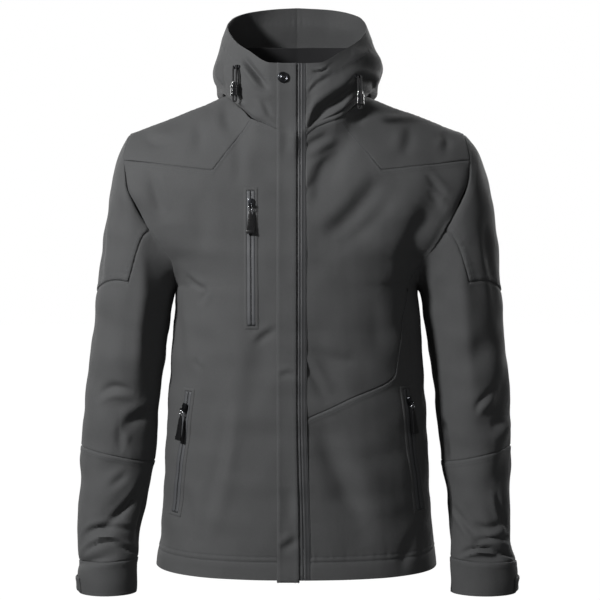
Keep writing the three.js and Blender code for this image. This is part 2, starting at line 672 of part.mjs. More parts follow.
// Solids from closed geometries
function solid(geometry, matrix) {
  const bare = geometry.index ? geometry.toNonIndexed() : geometry.clone();
  bare.deleteAttribute("normal");
  bare.deleteAttribute("uv");
  if (matrix) bare.applyMatrix4(matrix);
  const merged = mergeVertices(bare, 1e-4);
  return new wasm.Manifold(new wasm.Mesh({
    numProp: 3,
    vertProperties: new Float32Array(merged.attributes.position.array),
    triVerts: new Uint32Array(merged.index.array),
  }));
}

function geometryOf(made) {
  const mesh = made.getMesh();
  const geometry = new THREE.BufferGeometry();
  geometry.setAttribute("position", new THREE.Float32BufferAttribute(mesh.vertProperties, 3));
  geometry.setIndex([...mesh.triVerts]);
  return geometry;
}

const move = (x, y, z) => new THREE.Matrix4().makeTranslation(x, y, z);
const turnX = (angle) => new THREE.Matrix4().makeRotationX(angle);

// A place on the outer facets of a panel grid, with the facet's normal.
function onFacets(grid, x, h) {
  for (let i = 0; i < grid.length - 1; i += 1) {
    for (let j = 0; j < grid[0].length - 1; j += 1) {
      const [a, b, c, d] = [grid[i][j], grid[i][j + 1], grid[i + 1][j + 1], grid[i + 1][j]];
      for (const [p, q, r] of [[a, b, c], [a, c, d]]) {
        const area = (q.x - p.x) * (r.z - p.z) - (r.x - p.x) * (q.z - p.z);
        const s = ((x - p.x) * (r.z - p.z) - (r.x - p.x) * (h - p.z)) / area;
        const t = ((q.x - p.x) * (h - p.z) - (x - p.x) * (q.z - p.z)) / area;
        if (s >= -1e-6 && t >= -1e-6 && s + t <= 1 + 1e-6) {
          const y = p.y + s * (q.y - p.y) + t * (r.y - p.y);
          const normal = q.clone().sub(p).cross(r.clone().sub(p)).normalize();
          return { place: point(x, y, h), normal };
        }
      }
    }
  }
  throw new Error(`no facet at ${x}, ${h}`);
}

// Zip sliders and pulls. Down the zip is -Z of the slider's own frame, and out of the cloth is -Y.
const SLIDER = { wide: 8, tall: 11, thick: 3, room: 0.5, lugs: 1.3, lugGap: 3.4, lugTall: 3.2 };
const PIN = { wide: 1.5, out: 3.4, sunk: 0.5, up: 2 }; // out from the slider's plate, and up from its middle
const PULL = { eyeOut: 2.1, eyeHole: 1.15, eyeWide: 2.7, neck: 3.6, foot: 11.5, thick: 2, hang: 7 };
const PIPE_SIDES = 12;

const alongX = new THREE.Matrix4().makeRotationY(Math.PI / 2);

function disc(radius, wide, hole = 0) {
  const shape = new THREE.Shape().absarc(0, 0, radius, 0, Math.PI * 2);
  if (hole) shape.holes.push(new THREE.Path().absarc(0, 0, hole, 0, Math.PI * 2, true));
  const geometry = new THREE.ExtrudeGeometry(shape, {
    depth: wide, bevelEnabled: false, curveSegments: PIPE_SIDES / 2,
  });
  return geometry.translate(0, 0, -wide / 2).applyMatrix4(alongX);
}

function outlineSolid(places, thick) {
  const shape = new THREE.Shape(places.map(([x, z]) => new THREE.Vector2(x, z)));
  const geometry = new THREE.ExtrudeGeometry(shape, { depth: thick, bevelEnabled: false });
  return geometry.applyMatrix4(turnX(Math.PI / 2));
}

function sliderGeometry() {
  const { wide, tall, thick, lugs, lugGap, lugTall } = SLIDER;
  const half = wide / 2;
  const plate = outlineSolid([
    [-half, tall], [half, tall], [half, 4], [half * 0.62, -2.5], [-half * 0.62, -2.5], [-half, 4],
  ], thick);
  let made = solid(plate);
  const lugDeep = PIN.out + PIN.wide / 2;
  for (const sign of [-1, 1]) {
    const lug = new THREE.BoxGeometry(lugs, lugDeep, lugTall);
    lug.translate(sign * (lugGap + lugs) / 2, -thick - lugDeep / 2 + PIN.sunk, PIN.up);
    made = made.add(solid(lug));
  }
  const bar = disc(PIN.wide / 2, lugGap + lugs).translate(0, -thick - PIN.out + PIN.sunk, PIN.up);
  return geometryOf(made.add(solid(bar)));
}

function pullGeometry(length) {
  const { eyeOut, eyeHole, eyeWide, neck, foot, thick, hang } = PULL;
  const eye = solid(disc(eyeOut, eyeWide));
  const hole = solid(disc(eyeHole, eyeWide + 1));
  const stem = new THREE.BoxGeometry(eyeWide, thick * 0.8, hang).translate(0, 0, -hang / 2);
  const half = foot / 2;
  const tab = outlineSolid([
    [-neck / 2, -hang + 1], [neck / 2, -hang + 1], [half, -length + 2], [half - 1.4, -length],
    [-half + 1.4, -length], [-half, -length + 2],
  ], thick).translate(0, thick / 2, 0);
  return geometryOf(eye.add(solid(stem)).add(solid(tab)).subtract(hole));
}

// The frame of a zip at a place on a panel: down the zip, out of the cloth, and across.
function zipFrame(grid, at, toward) {
  const { place, normal } = onFacets(grid, at.x, at.h);
  const down = onFacets(grid, toward.x, toward.h).place.sub(place);
  down.addScaledVector(normal, -down.dot(normal)).normalize();
  const across = normal.clone().cross(down).normalize();
  const frame = new THREE.Matrix4().makeBasis(across, normal.clone().negate(), down.clone().negate());
  return frame.setPosition(place);
}

const POCKETS = table(
  ["name", "side", "topX", "topH", "lowX", "lowH", "wide", "slider", "pull"],
  ["chest", "right", -66.2, 556, -65.3, 360, 13, 0.12, 42],
  ["hand", "right", -159, 264, -180, 84, 11, 0.16, 46],
  ["hand", "left", 160, 268, 181, 88, 11, 0.13, 46],
);

for (const pocket of POCKETS) {
  const grid = pocket.side === "right" ? frontRightGrid : frontLeftLowerGrid;
  const label = pocket.name === "chest" ? "chest" : `hand_${pocket.side}`;
  const way = new THREE.Vector2(pocket.lowX - pocket.topX, pocket.lowH - pocket.topH);
  const length = way.length();
  const beside = new THREE.Vector2(-way.y, way.x).divideScalar(length).multiplyScalar(pocket.wide / 2);
  const rows = span(14).map((v) => [-1, 0, 1].map((s) => onFacets(
    grid,
    lerp(pocket.lowX, pocket.topX, v) + s * beside.x,
    lerp(pocket.lowH, pocket.topH, v) + s * beside.y,
  ).place));
  add(`${label}_zip`, laidStrip(rows, ZIP.thick), ZIP_TAPE);
  const at = {
    x: lerp(pocket.topX, pocket.lowX, pocket.slider),
    h: lerp(pocket.topH, pocket.lowH, pocket.slider),
  };
  const frame = zipFrame(grid, at, { x: pocket.lowX, h: pocket.lowH });
  const out = LAID + ZIP.thick + SLIDER.room;
  const slider = sliderGeometry().applyMatrix4(frame.clone().multiply(move(0, -out, 0)));
  add(`${label}_slider`, slider, GUNMETAL);
  const pin = move(0, -out - SLIDER.thick - PIN.out + PIN.sunk, PIN.up);
  add(`${label}_pull`, pullGeometry(pocket.pull), BLACK_RUBBER).applyMatrix4(frame.clone().multiply(pin));
}

// Snap button near the top of the flap
const SNAP = { x: -20, turn: 10, v: 0.8, radius: 7.8, tall: 2.6, room: 0.5 };
const snapPoint = hood(1, SNAP.turn, SNAP.v);
const snapProfile = [
  [0, 0], [1, 0], [1, 0.35], [0.86, 0.73], [0.66, 0.65], [0.6, 1], [0, 1],
].map(([across, out]) => new THREE.Vector2(across * SNAP.radius, out * SNAP.tall));
const snap = new THREE.LatheGeometry(snapProfile, 16).applyMatrix4(turnX(Math.PI));
snap.translate(SNAP.x, snapPoint.y - LAID - FLAP.thick - SNAP.room, snapPoint.z);
add("snap", geometryOf(solid(snap)), GUNMETAL);

// Hood cords: each comes out of an eyelet as a loop of two strands and runs through a lock.
const CORD = { radius: 1.3, apart: 4.6, sides: 8, steps: 26, out: 4.7 };
const EYELET = { wide: 11, deep: 7, slotWide: 8.6, slotDeep: 4.2, thick: 1.4, room: 0.5 };
const CORDS = table(
  ["side", "turn", "v", "drop", "forward", "lock"],
  ["right", 51, 0.79, 52, 12, 34],
  ["left", 50, 0.69, 48, 12, 32],
);
const LOCK = { wide: 12.5, deep: 8.5, tall: 20, slotWide: 8.4, slotDeep: 3.6, above: 2 };
const OVAL_SEGMENTS = 5;

function oval(wide, deep) {
  const shape = new THREE.Shape();
  const [half, r] = [(wide - deep) / 2, deep / 2];
  shape.absarc(half, 0, r, -Math.PI / 2, Math.PI / 2);
  shape.absarc(-half, 0, r, Math.PI / 2, (3 * Math.PI) / 2);
  return shape;
}

// An oval block with an oval slot through it.
function slotted(sizes, depth) {
  const shape = oval(sizes.wide, sizes.deep);
  const slot = oval(sizes.slotWide, sizes.slotDeep);
  shape.holes.push(new THREE.Path(slot.getPoints(OVAL_SEGMENTS).reverse()));
  return new THREE.ExtrudeGeometry(shape, { depth, bevelEnabled: false, curveSegments: OVAL_SEGMENTS });
}

class StrandCurve extends THREE.Curve {
  constructor(top, drop, forward, apart, upright) {
    super();
    Object.assign(this, { top, drop, forward, apart, upright });
  }

  // The strands come forward off the hood, and hang upright from there on.
  lean(down) {
    return this.forward * Math.sin((Math.PI / 2) * clamp(down / this.upright, 0, 1));
  }

  getPoint(t) {
    const r = this.apart / 2;
    const straight = this.drop - r;
    const total = 2 * straight + Math.PI * r;
    const run = t * total;
    let across = -r;
    let down = run;
    if (run > straight && run < straight + Math.PI * r) {
      const angle = (run - straight) / r;
      across = -r * Math.cos(angle);
      down = straight + r * Math.sin(angle);
    } else if (run >= straight + Math.PI * r) {
      across = r;
      down = total - run;
    }
    return point(this.top.x + across, this.top.y - this.lean(down), this.top.z - down);
  }
}

for (const row of CORDS) {
  const sign = row.side === "left" ? 1 : -1;
  const place = hood(sign, row.turn, row.v);
  const beside = hood(sign, row.turn + 3, row.v).sub(hood(sign, row.turn - 3, row.v)).multiplyScalar(sign);
  const above = hood(sign, row.turn, row.v + 0.03).sub(hood(sign, row.turn, row.v - 0.03));
  const normal = beside.cross(above).normalize();
  const base = new THREE.Matrix4().lookAt(normal, point(0, 0, 0), point(0, 0, 1));
  base.setPosition(place.clone().addScaledVector(normal, EYELET.room));
  const eyelet = slotted(EYELET, EYELET.thick);
  add(`eyelet_${row.side}`, geometryOf(solid(eyelet, base)), GUNMETAL);
  const top = place.clone().addScaledVector(normal, CORD.out);
  const upright = row.lock - LOCK.tall / 2 - LOCK.above; // how far down the strands hang straight
  const curve = new StrandCurve(top, row.drop, row.forward, CORD.apart, upright);
  const section = new THREE.Shape().absarc(0, 0, CORD.radius, 0, Math.PI * 2);
  const tube = new THREE.ExtrudeGeometry(section, {
    steps: CORD.steps, extrudePath: curve, curveSegments: CORD.sides / 2, bevelEnabled: false,
  });
  add(`cord_${row.side}`, geometryOf(solid(tube)), CORD_BLACK);
  const lock = slotted(LOCK, LOCK.tall);
  lock.translate(top.x, top.y - row.forward, top.z - row.lock - LOCK.tall / 2);
  add(`cord_lock_${row.side}`, geometryOf(solid(lock)), BLACK_RUBBER);
}

export default jacket;
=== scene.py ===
# %% [markdown]
# # A softshell jacket, built by hand in Blender
# The real jacket is cut from one bonded cloth: a woven face, a membrane and a thin fleece glued together.
# It is stiffer than a shirt, so it stands off the wearer in broad soft folds and keeps crisp seams.
# This lesson builds it panel by panel, as a maker would sew it, round a plain model that fixes every size.
# The plain model is loaded first. Everything made here stays on it, in metres, +Z up, the front facing -Y.

# %% The frame and the tools
import json
import math

import bmesh
import bpy
import numpy as np
from mathutils import Matrix, Vector


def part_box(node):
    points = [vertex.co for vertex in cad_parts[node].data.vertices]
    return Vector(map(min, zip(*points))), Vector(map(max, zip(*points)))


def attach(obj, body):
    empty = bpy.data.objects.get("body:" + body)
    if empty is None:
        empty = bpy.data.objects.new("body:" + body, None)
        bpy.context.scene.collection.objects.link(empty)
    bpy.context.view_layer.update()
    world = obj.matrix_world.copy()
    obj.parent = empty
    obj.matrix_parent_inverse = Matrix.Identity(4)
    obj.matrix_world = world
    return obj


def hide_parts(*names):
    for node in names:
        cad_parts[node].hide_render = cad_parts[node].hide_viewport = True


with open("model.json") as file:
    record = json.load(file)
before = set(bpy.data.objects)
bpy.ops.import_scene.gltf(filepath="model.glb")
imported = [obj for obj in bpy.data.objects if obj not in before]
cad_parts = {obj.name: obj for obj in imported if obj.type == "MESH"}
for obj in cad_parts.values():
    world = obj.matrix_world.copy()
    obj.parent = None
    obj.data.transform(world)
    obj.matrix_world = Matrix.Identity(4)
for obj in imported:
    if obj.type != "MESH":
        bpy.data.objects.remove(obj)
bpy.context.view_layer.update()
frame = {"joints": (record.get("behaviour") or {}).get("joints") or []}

# %% [markdown]
# ## Camera and studio
# The picture shows the jacket from the front, from about the height of its chest, through a long lens.
# A camera three metres away with a 120 mm lens gives that calm perspective.
# The main light is one fairly small lamp high on the left, so that folds cast clear shadows to the right.
# A wide weak lamp fills those shadows, two lamps behind light the back, and floor and sky are white to the camera but
# dim as lights.

# %% Camera
SHOULDERS = 680  # millimetres from the side hem up to the origin; every table below counts from the hem
MM = 0.001
CAMERA = {"x": 4.5, "distance": 3000, "height": 470, "drop": 75, "lens": 120}


def add_camera():
    data = bpy.data.cameras.new("camera")
    data.lens = CAMERA["lens"]
    data.sensor_width = 36
    camera = bpy.data.objects.new("camera", data)
    bpy.context.scene.collection.objects.link(camera)
    camera.location = (CAMERA["x"] * MM, -CAMERA["distance"] * MM, (CAMERA["height"] - SHOULDERS) * MM)
    tilt = math.atan(CAMERA["drop"] / CAMERA["distance"])
    camera.rotation_euler = (math.pi / 2 - tilt, 0, 0)
    bpy.context.scene.camera = camera
    return camera


print("camera at", [round(v, 3) for v in add_camera().location])

# %% Studio
FLOOR_BELOW = 1.45  # metres from the shoulders to the floor that a wearer stands on
FLOOR_SIZE = 60.0
KEY = {"at": (-1.44, -1.42, 0.68), "size": 0.3, "power": 67}
FILL = {"at": (1.2, -2.6, 0.5), "size": 1.8, "power": 8}
BEHIND = {"at": (1.5, 2.2, 0.6), "size": 1.4, "power": 60}, {"at": (-1.6, 2.1, 0.4), "size": 1.2, "power": 28}
AMBIENT = 0.08


def seen_white(nodes, links, strength):
    """White to the camera and much dimmer as a light: the strength that this socket gets."""
    path = nodes.new("ShaderNodeLightPath")
    level = nodes.new("ShaderNodeMapRange")
    level.inputs["To Min"].default_value = AMBIENT
    level.inputs["To Max"].default_value = 1.0
    links.new(path.outputs["Is Camera Ray"], level.inputs["Value"])
    links.new(level.outputs["Result"], strength)


def simple_material(name, color, roughness):
    material = bpy.data.materials.new(name)
    material.use_nodes = True
    shader = material.node_tree.nodes["Principled BSDF"]
    shader.inputs["Base Color"].default_value = (*color, 1)
    shader.inputs["Roughness"].default_value = roughness
    return material


def add_studio():
    half = FLOOR_SIZE / 2
    mesh = bpy.data.meshes.new("floor")
    corners = [(-half, -half), (half, -half), (half, half), (-half, half)]
    mesh.from_pydata([(x, y, -FLOOR_BELOW) for x, y in corners], [], [(0, 1, 2, 3)])
    floor = bpy.data.objects.new("floor", mesh)
    pale = simple_material("pale_floor", (0.05, 0.05, 0.05), 0.9)
    shader = pale.node_tree.nodes["Principled BSDF"]
    shader.inputs["Emission Color"].default_value = (1, 1, 1, 1)
    seen_white(pale.node_tree.nodes, pale.node_tree.links, shader.inputs["Emission Strength"])
    mesh.materials.append(pale)
    bpy.context.scene.collection.objects.link(floor)
    for name, sizes in (("key", KEY), ("fill", FILL), ("left behind", BEHIND[0]), ("right behind", BEHIND[1])):
        lamp = bpy.data.lights.new(name, "AREA")
        lamp.energy = sizes["power"]
        lamp.size = sizes["size"]
        turned = bpy.data.objects.new(name, lamp)
        bpy.context.scene.collection.objects.link(turned)
        turned.location = sizes["at"]
        turned.visible_camera = False
        aim = Vector((0, 0, -0.3)) - Vector(sizes["at"])
        turned.rotation_euler = aim.to_track_quat("-Z", "Y").to_euler()
    world = bpy.data.worlds.new("studio")
    bpy.context.scene.world = world
    world.use_nodes = True
    nodes, links = world.node_tree.nodes, world.node_tree.links
    seen_white(nodes, links, nodes["Background"].inputs["Strength"])
    nodes["Background"].inputs["Color"].default_value = (1, 1, 1, 1)
    bpy.context.scene.view_settings.view_transform = "Standard"


add_studio()
print("studio: floor", FLOOR_BELOW, "m below the shoulders, key", KEY["power"], "W, ambient", AMBIENT)

# %% [markdown]
# ## Smooth curves through short tables
# A maker's size chart is a short table. A smooth curve through each column gives every size between the rows.
# The curve used here never overshoots a row: where the slope changes sign it is flat, and elsewhere it takes
# the harmonic mean of the slopes on both sides. Everything is worked out on whole arrays of places at once.

# %% Tables and curves
def table(columns, *rows):
    values = np.array(rows, float)
    return {name: values[:, i] for i, name in enumerate(columns.split())}


def through(x, y, at):
    """A smooth curve through the knots (x, y), read at many places. y may hold one column for each place."""
    at = np.clip(np.asarray(at, float), x[0], x[-1])
    y = y if y.ndim == 2 else np.repeat(y[:, None], at.size, axis=1)
    slopes = np.diff(y, axis=0) / np.diff(x)[:, None]
    before, after = slopes[:-1], slopes[1:]
    same = before * after > 0
    middle = np.where(same, 2 * before * after / np.where(same, before + after, 1), 0)
    tangents = np.concatenate([slopes[:1], middle, slopes[-1:]])
    flat = at.ravel()
    i = np.clip(np.searchsorted(x, flat, side="left") - 1, 0, len(x) - 2)
    width = (x[i + 1] - x[i])
    t = (flat - x[i]) / width
    n = np.arange(flat.size)
    t2, t3 = t * t, t * t * t
    out = (2 * t3 - 3 * t2 + 1) * y[i, n] + (t3 - 2 * t2 + t) * width * tangents[i, n]
    out += (3 * t2 - 2 * t3) * y[i + 1, n] + (t3 - t2) * width * tangents[i + 1, n]
    return out.reshape(at.shape)


def read(rows, key, column, at):
    return through(rows[key], rows[column], at)


def lerp(a, b, t):
    return a + (b - a) * t


def stack(x, y, z):
    return np.stack(np.broadcast_arrays(x, y, z), axis=-1).astype(float)


def smooth(low, high, at):
    t = np.clip((at - low) / (high - low), 0, 1)
    return t * t * (3 - 2 * t)


print("a curve through 0, 1, 3 at 1.5 reads", through(np.array([0.0, 1, 2]), np.array([0.0, 1, 3]), np.array([1.5])))

# %% [markdown]
# ## The body's form
# Level sections give the body: how deep the front and back are, and where the side seam or armhole lies.
# Each section is a superellipse, a little squarer than an ellipse, as cloth hangs round a chest.
# Above the chest the panel rounds in to the shoulder line, so the shoulders come out soft, not like a box.

# %% Sizes of the body
ZIP = {"from": 4.0, "to": 20.0, "room": 0.4}  # across the chest
FLAP = {"from": -28.6, "to": 4.8, "below": 3.0, "thick": 2.2, "room": 0.7}
RIGHT_EDGE = ZIP["from"] - ZIP["room"]
LEFT_EDGE = ZIP["to"] + ZIP["room"]
CLOTH = 1.6
SQUARENESS = 2.25
DOME = 120.0
TIP, TIP_HEIGHT, SHOULDER_SLOPE = 250.0, 643.0, 0.385
NECK_POINT, ARMPIT, YOKE_SIDE = 104.0, 412.0, 603.0
HEM_FRONT, HEM_SIDE = -5.0, 1.0
BODY = table(
    "h front back frontEdge backEdge frontEdgeDepth backEdgeDepth",
    [-20, 138, 124, 211, 211, 0, 0], [0, 137, 122, 209, 209, 0, 0], [40, 136, 120, 205, 205, 0, 0],
    [85, 135, 117, 200.5, 200.5, 0, 0], [150, 133, 113, 197.5, 197.5, 0, 0], [230, 131, 110, 194, 194, 0, 0],
    [300, 131, 111, 189.5, 189.5, 0, 0], [365, 132, 116, 185, 185, 0, 0], [412, 132, 120, 181, 181, 0, 0],
    [424, 131.5, 121, 179.5, 182, 34, 38], [452, 130, 122, 182, 190, 62, 70], [475, 128, 123, 198, 205, 73, 82],
    [500, 126, 123, 215, 219, 78, 88], [535, 122, 122, 237, 235, 80, 90], [570, 117, 119, 252, 247, 79, 88],
    [603, 110, 114, 256, 253, 75, 84], [643, 104, 108, 250, 250, 70, 78], [720, 100, 100, 250, 250, 66, 72],
)
YOKE_SEAM = table("x h", [66, 661], [122, 586], [180, 593], [256, YOKE_SIDE])
SLANT_SEAM = table("x h", [ZIP["to"], 226], [78, 254], [143, 290], [151, 349], [166, 420], [182, 452])
NECK_FRONT = table("x h", [0, 636], [30, 645], [48, 653], [66, 661], [84, 679], [NECK_POINT, 699.2])
NECK_BACK = table("x h", [0, 680], [36, 682], [74, 689], [NECK_POINT, 699.2])

# The widest folds, which the plain model has too: from, to, depth (ridges below 0) and width.
FOLD = "a1 b1 a2 b2 depth width"
BODY_FOLDS = {
    "front": table(
        FOLD, [-122, 285, -152, 60, 7, 26], [-80, 330, -112, 120, -4, 24], [-40, 385, -66, 260, 4, 20],
        [-205, 575, -188, 505, 5, 18], [44, 560, 74, 632, 7, 15], [48, 470, 150, 590, 5, 30],
        [190, 505, 205, 575, 6, 18], [165, 450, 172, 330, 6, 26], [34, 345, 60, 250, 4, 18],
        [42, 220, 96, 40, 8, 26], [84, 200, 130, 60, -4, 24],
    ),
    "back": table(
        FOLD, [-150, 560, -70, 470, 5, 26], [152, 550, 84, 452, 6, 28], [-60, 300, -120, 140, 6, 26],
        [30, 330, 62, 120, 5, 28], [130, 290, 168, 120, 6, 24], [-10, 420, -40, 330, -4, 26],
    ),
}

# %% The body as a formula
STILL_EDGE = 0.12  # the share of a panel, next to its side edge, that no fold reaches


def fold_depth(rows, a, b):
    depth = np.zeros(np.shape(a))
    for i in range(len(rows["a1"])):
        a1, b1, a2, b2, deep, width = (rows[name][i] for name in FOLD.split())
        da, db = a2 - a1, b2 - b1
        along = np.clip(((a - a1) * da + (b - b1) * db) / (da * da + db * db), 0, 1)
        off = np.hypot(a - a1 - along * da, b - b1 - along * db)
        depth += deep * (0.35 + 0.65 * np.sin(np.pi * along)) * np.exp(-((off / width) ** 2))
    return depth


def crest(x):
    return TIP_HEIGHT + (TIP - np.abs(x)) * SHOULDER_SLOPE


def section(face, h):
    depth = read(BODY, "h", face, h)
    edge = read(BODY, "h", face + "Edge", h)
    share = np.clip(read(BODY, "h", face + "EdgeDepth", h) / depth, 0, 1)
    width = edge / (1 - share ** SQUARENESS) ** (1 / SQUARENESS)
    return depth, width, np.arcsin(np.clip(edge / width, 0, 1))


def across_of(face, x, h):
    _, width, sweep = section(face, h)
    return np.arcsin(np.clip(x / width, -1, 1)) / sweep


def body(face, across, h):
    """A place on the body: across is 0 at the middle and 1 or -1 at the side seam or armhole."""
    across, h = np.broadcast_arrays(np.asarray(across, float), np.asarray(h, float))
    depth, width, sweep = section(face, h)
    x = width * np.sin(across * sweep)
    up = np.clip((h - crest(x) + DOME) / DOME, 0, 1)
    round_in = np.sqrt(np.clip(1 - up * up, 0, 1))
    bow = np.clip(1 - np.abs(x / width) ** SQUARENESS, 0, 1) ** (1 / SQUARENESS)
    still = np.clip((1 - np.abs(across)) / STILL_EDGE, 0, 1) * round_in
    y = depth * bow * round_in - fold_depth(BODY_FOLDS[face], x, h) * still
    return stack(x, -y if face == "front" else y, h)


print("chest: front", body("front", 0, 535.0).round(1), "side seam", body("front", 1, 300.0).round(1))

# %% [markdown]
# ## The sleeves' form
# A sleeve is a row of slanted rings from the armhole to the cuff. Near the armhole it takes the armhole's own
# shape, and farther down each ring is an ellipse. A place is given by its turn about the arm, where 0 is next
# to the body, 90 the front and 180 the outside, and by how many rings down it lies.

# %% Sizes of the sleeves
RING = "inX inH outX outH front back"
SLEEVE_RINGS = {
    "right": table(
        RING, [181, 412, 250, 643, -78, 86], [184, 403, 268, 609, -82, 89], [187, 388, 279, 560, -83, 88],
        [190, 366, 288, 500, -81, 84], [194, 338, 297, 432, -78, 79], [201, 290, 306, 345, -75, 72],
        [207, 235, 317, 258, -72, 64], [214, 155, 323, 178, -68, 55], [226, 98, 324, 105, -71, 40],
        [236, 50, 328, 48, -76, 24], [237, 14, 324, 10, -80, 14], [238, -12, 326, -12, -80, 12],
        [239, -38, 323, -38, -79, 12],
    ),
    "left": table(
        RING, [181, 412, 250, 643, -78, 86], [184, 403, 272, 612, -82, 89], [187, 388, 288, 565, -83, 88],
        [190, 366, 299, 500, -81, 84], [194, 338, 305, 432, -78, 79], [202, 290, 311, 345, -75, 72],
        [208, 235, 320, 258, -72, 64], [217, 155, 321, 178, -68, 55], [226, 98, 318, 105, -71, 40],
        [229, 50, 318, 48, -76, 24], [228.5, 14, 324, 10, -80, 14], [228.5, -12, 327, -12, -80, 12],
        [229, -38, 325, -38, -79, 12],
    ),
}
ELBOW_RING, CUFF_RING, LAST_RING = 7, 10, 12
CAP = {"start": 500, "cornerTurn": 96, "corner": 3.35, "outer": 4.3}
HOLD_RINGS = 3.2
STILL_RINGS = {"top": 0.8, "end": 0.6}
TURN_MM, RING_MM = 1.15, 58.0  # one degree about a sleeve, and one ring down it
SLEEVE_FOLDS = {
    "right": table(
        FOLD, [150, 4.9, 70, 4.4, 5, 22], [140, 5.7, 40, 6.3, 7, 20], [120, 7.4, 60, 7.1, 5, 16],
        [128, 9.2, 40, 7.7, 7, 18], [300, 5.4, 230, 6.4, 6, 22], [320, 8.9, 240, 7.6, 6, 20],
        [170, 10.2, 80, 9.7, 7, 14], [300, 9.7, 210, 10.1, 6, 14],
    ),
    "left": table(
        FOLD, [60, 5.1, 140, 4.9, 5, 20], [165, 5.6, 105, 6.4, 7, 18], [170, 6.9, 110, 7.6, 6, 18],
        [50, 8.1, 110, 9.5, 6, 18], [310, 5.2, 235, 6.2, 6, 22], [300, 8.7, 225, 7.7, 6, 20],
        [60, 9.9, 165, 9.6, 7, 14], [300, 10.1, 215, 9.7, 6, 14],
    ),
}
for folds in SLEEVE_FOLDS.values():
    for name, scale in (("a1", TURN_MM), ("a2", TURN_MM), ("b1", RING_MM), ("b2", RING_MM)):
        folds[name] = folds[name] * scale

# %% The sleeves as a formula
ARM_ROWS = 60


def armhole_loop():
    """The armhole's edge, from the armpit up the front and down the back, by its turn."""
    v = np.linspace(0, 1, ARM_ROWS)
    low = lerp(ARMPIT, YOKE_SIDE, v)
    high = lerp(YOKE_SIDE, TIP_HEIGHT, np.sin(v[1:] * np.pi / 2))
    heights = np.concatenate([low, high])
    sides = [body(face, 1, heights) for face in ("front", "back")]
    turns = []
    for side in sides:
        run = np.concatenate([[0], np.cumsum(np.linalg.norm(np.diff(side, axis=0), axis=1))])
        turns.append(180 * run / run[-1])
    points = np.concatenate([sides[0], sides[1][-2::-1]])
    turn = np.concatenate([turns[0], 360 - turns[1][-2::-1]])
    starts = [np.interp(CAP["start"], heights, t) for t in turns]
    return {"turn": turn, "x": points[:, 0], "y": points[:, 1], "z": points[:, 2]}, starts


LOOP, CAP_STARTS = armhole_loop()
CAP_FIRST, CAP_LAST = CAP_STARTS[0], 360 - CAP_STARTS[1]


def ring_point(ring, turn):
    a = np.radians(turn)
    out = (1 - np.cos(a)) / 2
    middle = (ring["front"] + ring["back"]) / 2
    half = (ring["back"] - ring["front"]) / 2
    return stack(lerp(ring["inX"], ring["outX"], out), middle - np.sin(a) * half, lerp(ring["inH"], ring["outH"], out))


def ring_at(side, t):
    rows = SLEEVE_RINGS[side]
    places = np.arange(len(rows["inX"]), dtype=float)
    return {name: through(places, rows[name], t) for name in RING.split()}


def sleeve(side, turn, t):
    turn, t = np.broadcast_arrays(np.asarray(turn, float) % 360, np.asarray(t, float))
    ring = ring_at(side, t)
    p = ring_point(ring, turn)
    first = ring_point(ring_at(side, np.zeros(t.shape)), turn)
    hold = np.clip(1 - t / HOLD_RINGS, 0, 1) ** 2
    edge = stack(*(np.interp(turn, LOOP["turn"], LOOP[axis]) for axis in "xyz"))
    p = p + (edge - first) * hold[..., None]
    centre = stack((ring["inX"] + ring["outX"]) / 2, (ring["front"] + ring["back"]) / 2, (ring["inH"] + ring["outH"]) / 2)
    still = np.clip(t / STILL_RINGS["top"], 0, 1) * np.clip((LAST_RING - t) / STILL_RINGS["end"], 0, 1)
    inward = centre - p
    inward /= np.linalg.norm(inward, axis=-1, keepdims=True)
    p = p + inward * (fold_depth(SLEEVE_FOLDS[side], turn * TURN_MM, t * RING_MM) * still)[..., None]
    return p * ((-1, 1, 1) if side == "right" else (1, 1, 1))


print("cap runs from turn", round(CAP_FIRST, 1), "to", round(CAP_LAST, 1), "elbow", sleeve("left", 90, 7.0).round(1))

# %% [markdown]
# ## The hood's form
# The hood lies down on the shoulders. Each of its two halves is given by profiles from the centre front
# round to the centre back: it leaves the neck seam, dips over the shoulder, bulges, and ends at its rim.

# %% Sizes of the hood and stand collar
HOOD = table(
    "turn neckX dipX dipY dipH lowX lowY lowH bulgeX bulgeY bulgeH rimX rimY rimH",
    [0, 0, 0, -105, 652, 0, -108, 672, 0, -111, 702, 0, -112, 739],
    [22, 34, 36, -103, 660, 37, -107, 678, 38, -110, 706, 38, -110, 740],
    [42, 66, 70, -91, 670, 73, -95, 685, 76, -96, 714, 69, -86, 759],
    [62, 85, 92, -66, 688, 97, -68, 700, 104, -66, 724, 90, -55, 776],
    [80, 101, 107, -24, 702, 113, -25, 711, 124, -22, 734, 103, -10, 799],
    [90, 104, 110, 0, 704, 116, 2, 712, 125, 6, 737, 104, 16, 807],
    [112, 97, 108, 54, 692, 118, 58, 702, 124, 62, 738, 99, 62, 823],
    [135, 74, 86, 102, 660, 100, 114, 674, 105, 116, 735, 77, 92, 835],
    [158, 37, 48, 125, 634, 56, 143, 656, 58, 148, 725, 42, 107, 842],
    [180, 0, 0, 130, 628, 0, 150, 651, 0, 157, 720, 0, 112, 845],
)
HOOD_KNOTS = np.array([0, 0.26, 0.42, 0.66, 1.0])
HOOD_ROLL = 9.0
FRONT_BAND = 34.0
STAND = table(
    "turn topX topY topH", [84, 101, -24, 764], [100, 100, 12, 771], [125, 82, 42, 776],
    [152, 45, 58, 778], [180, 0, 63, 778],
)
STAND_INSIDE, STAND_LIFT = 1.9, 0.7

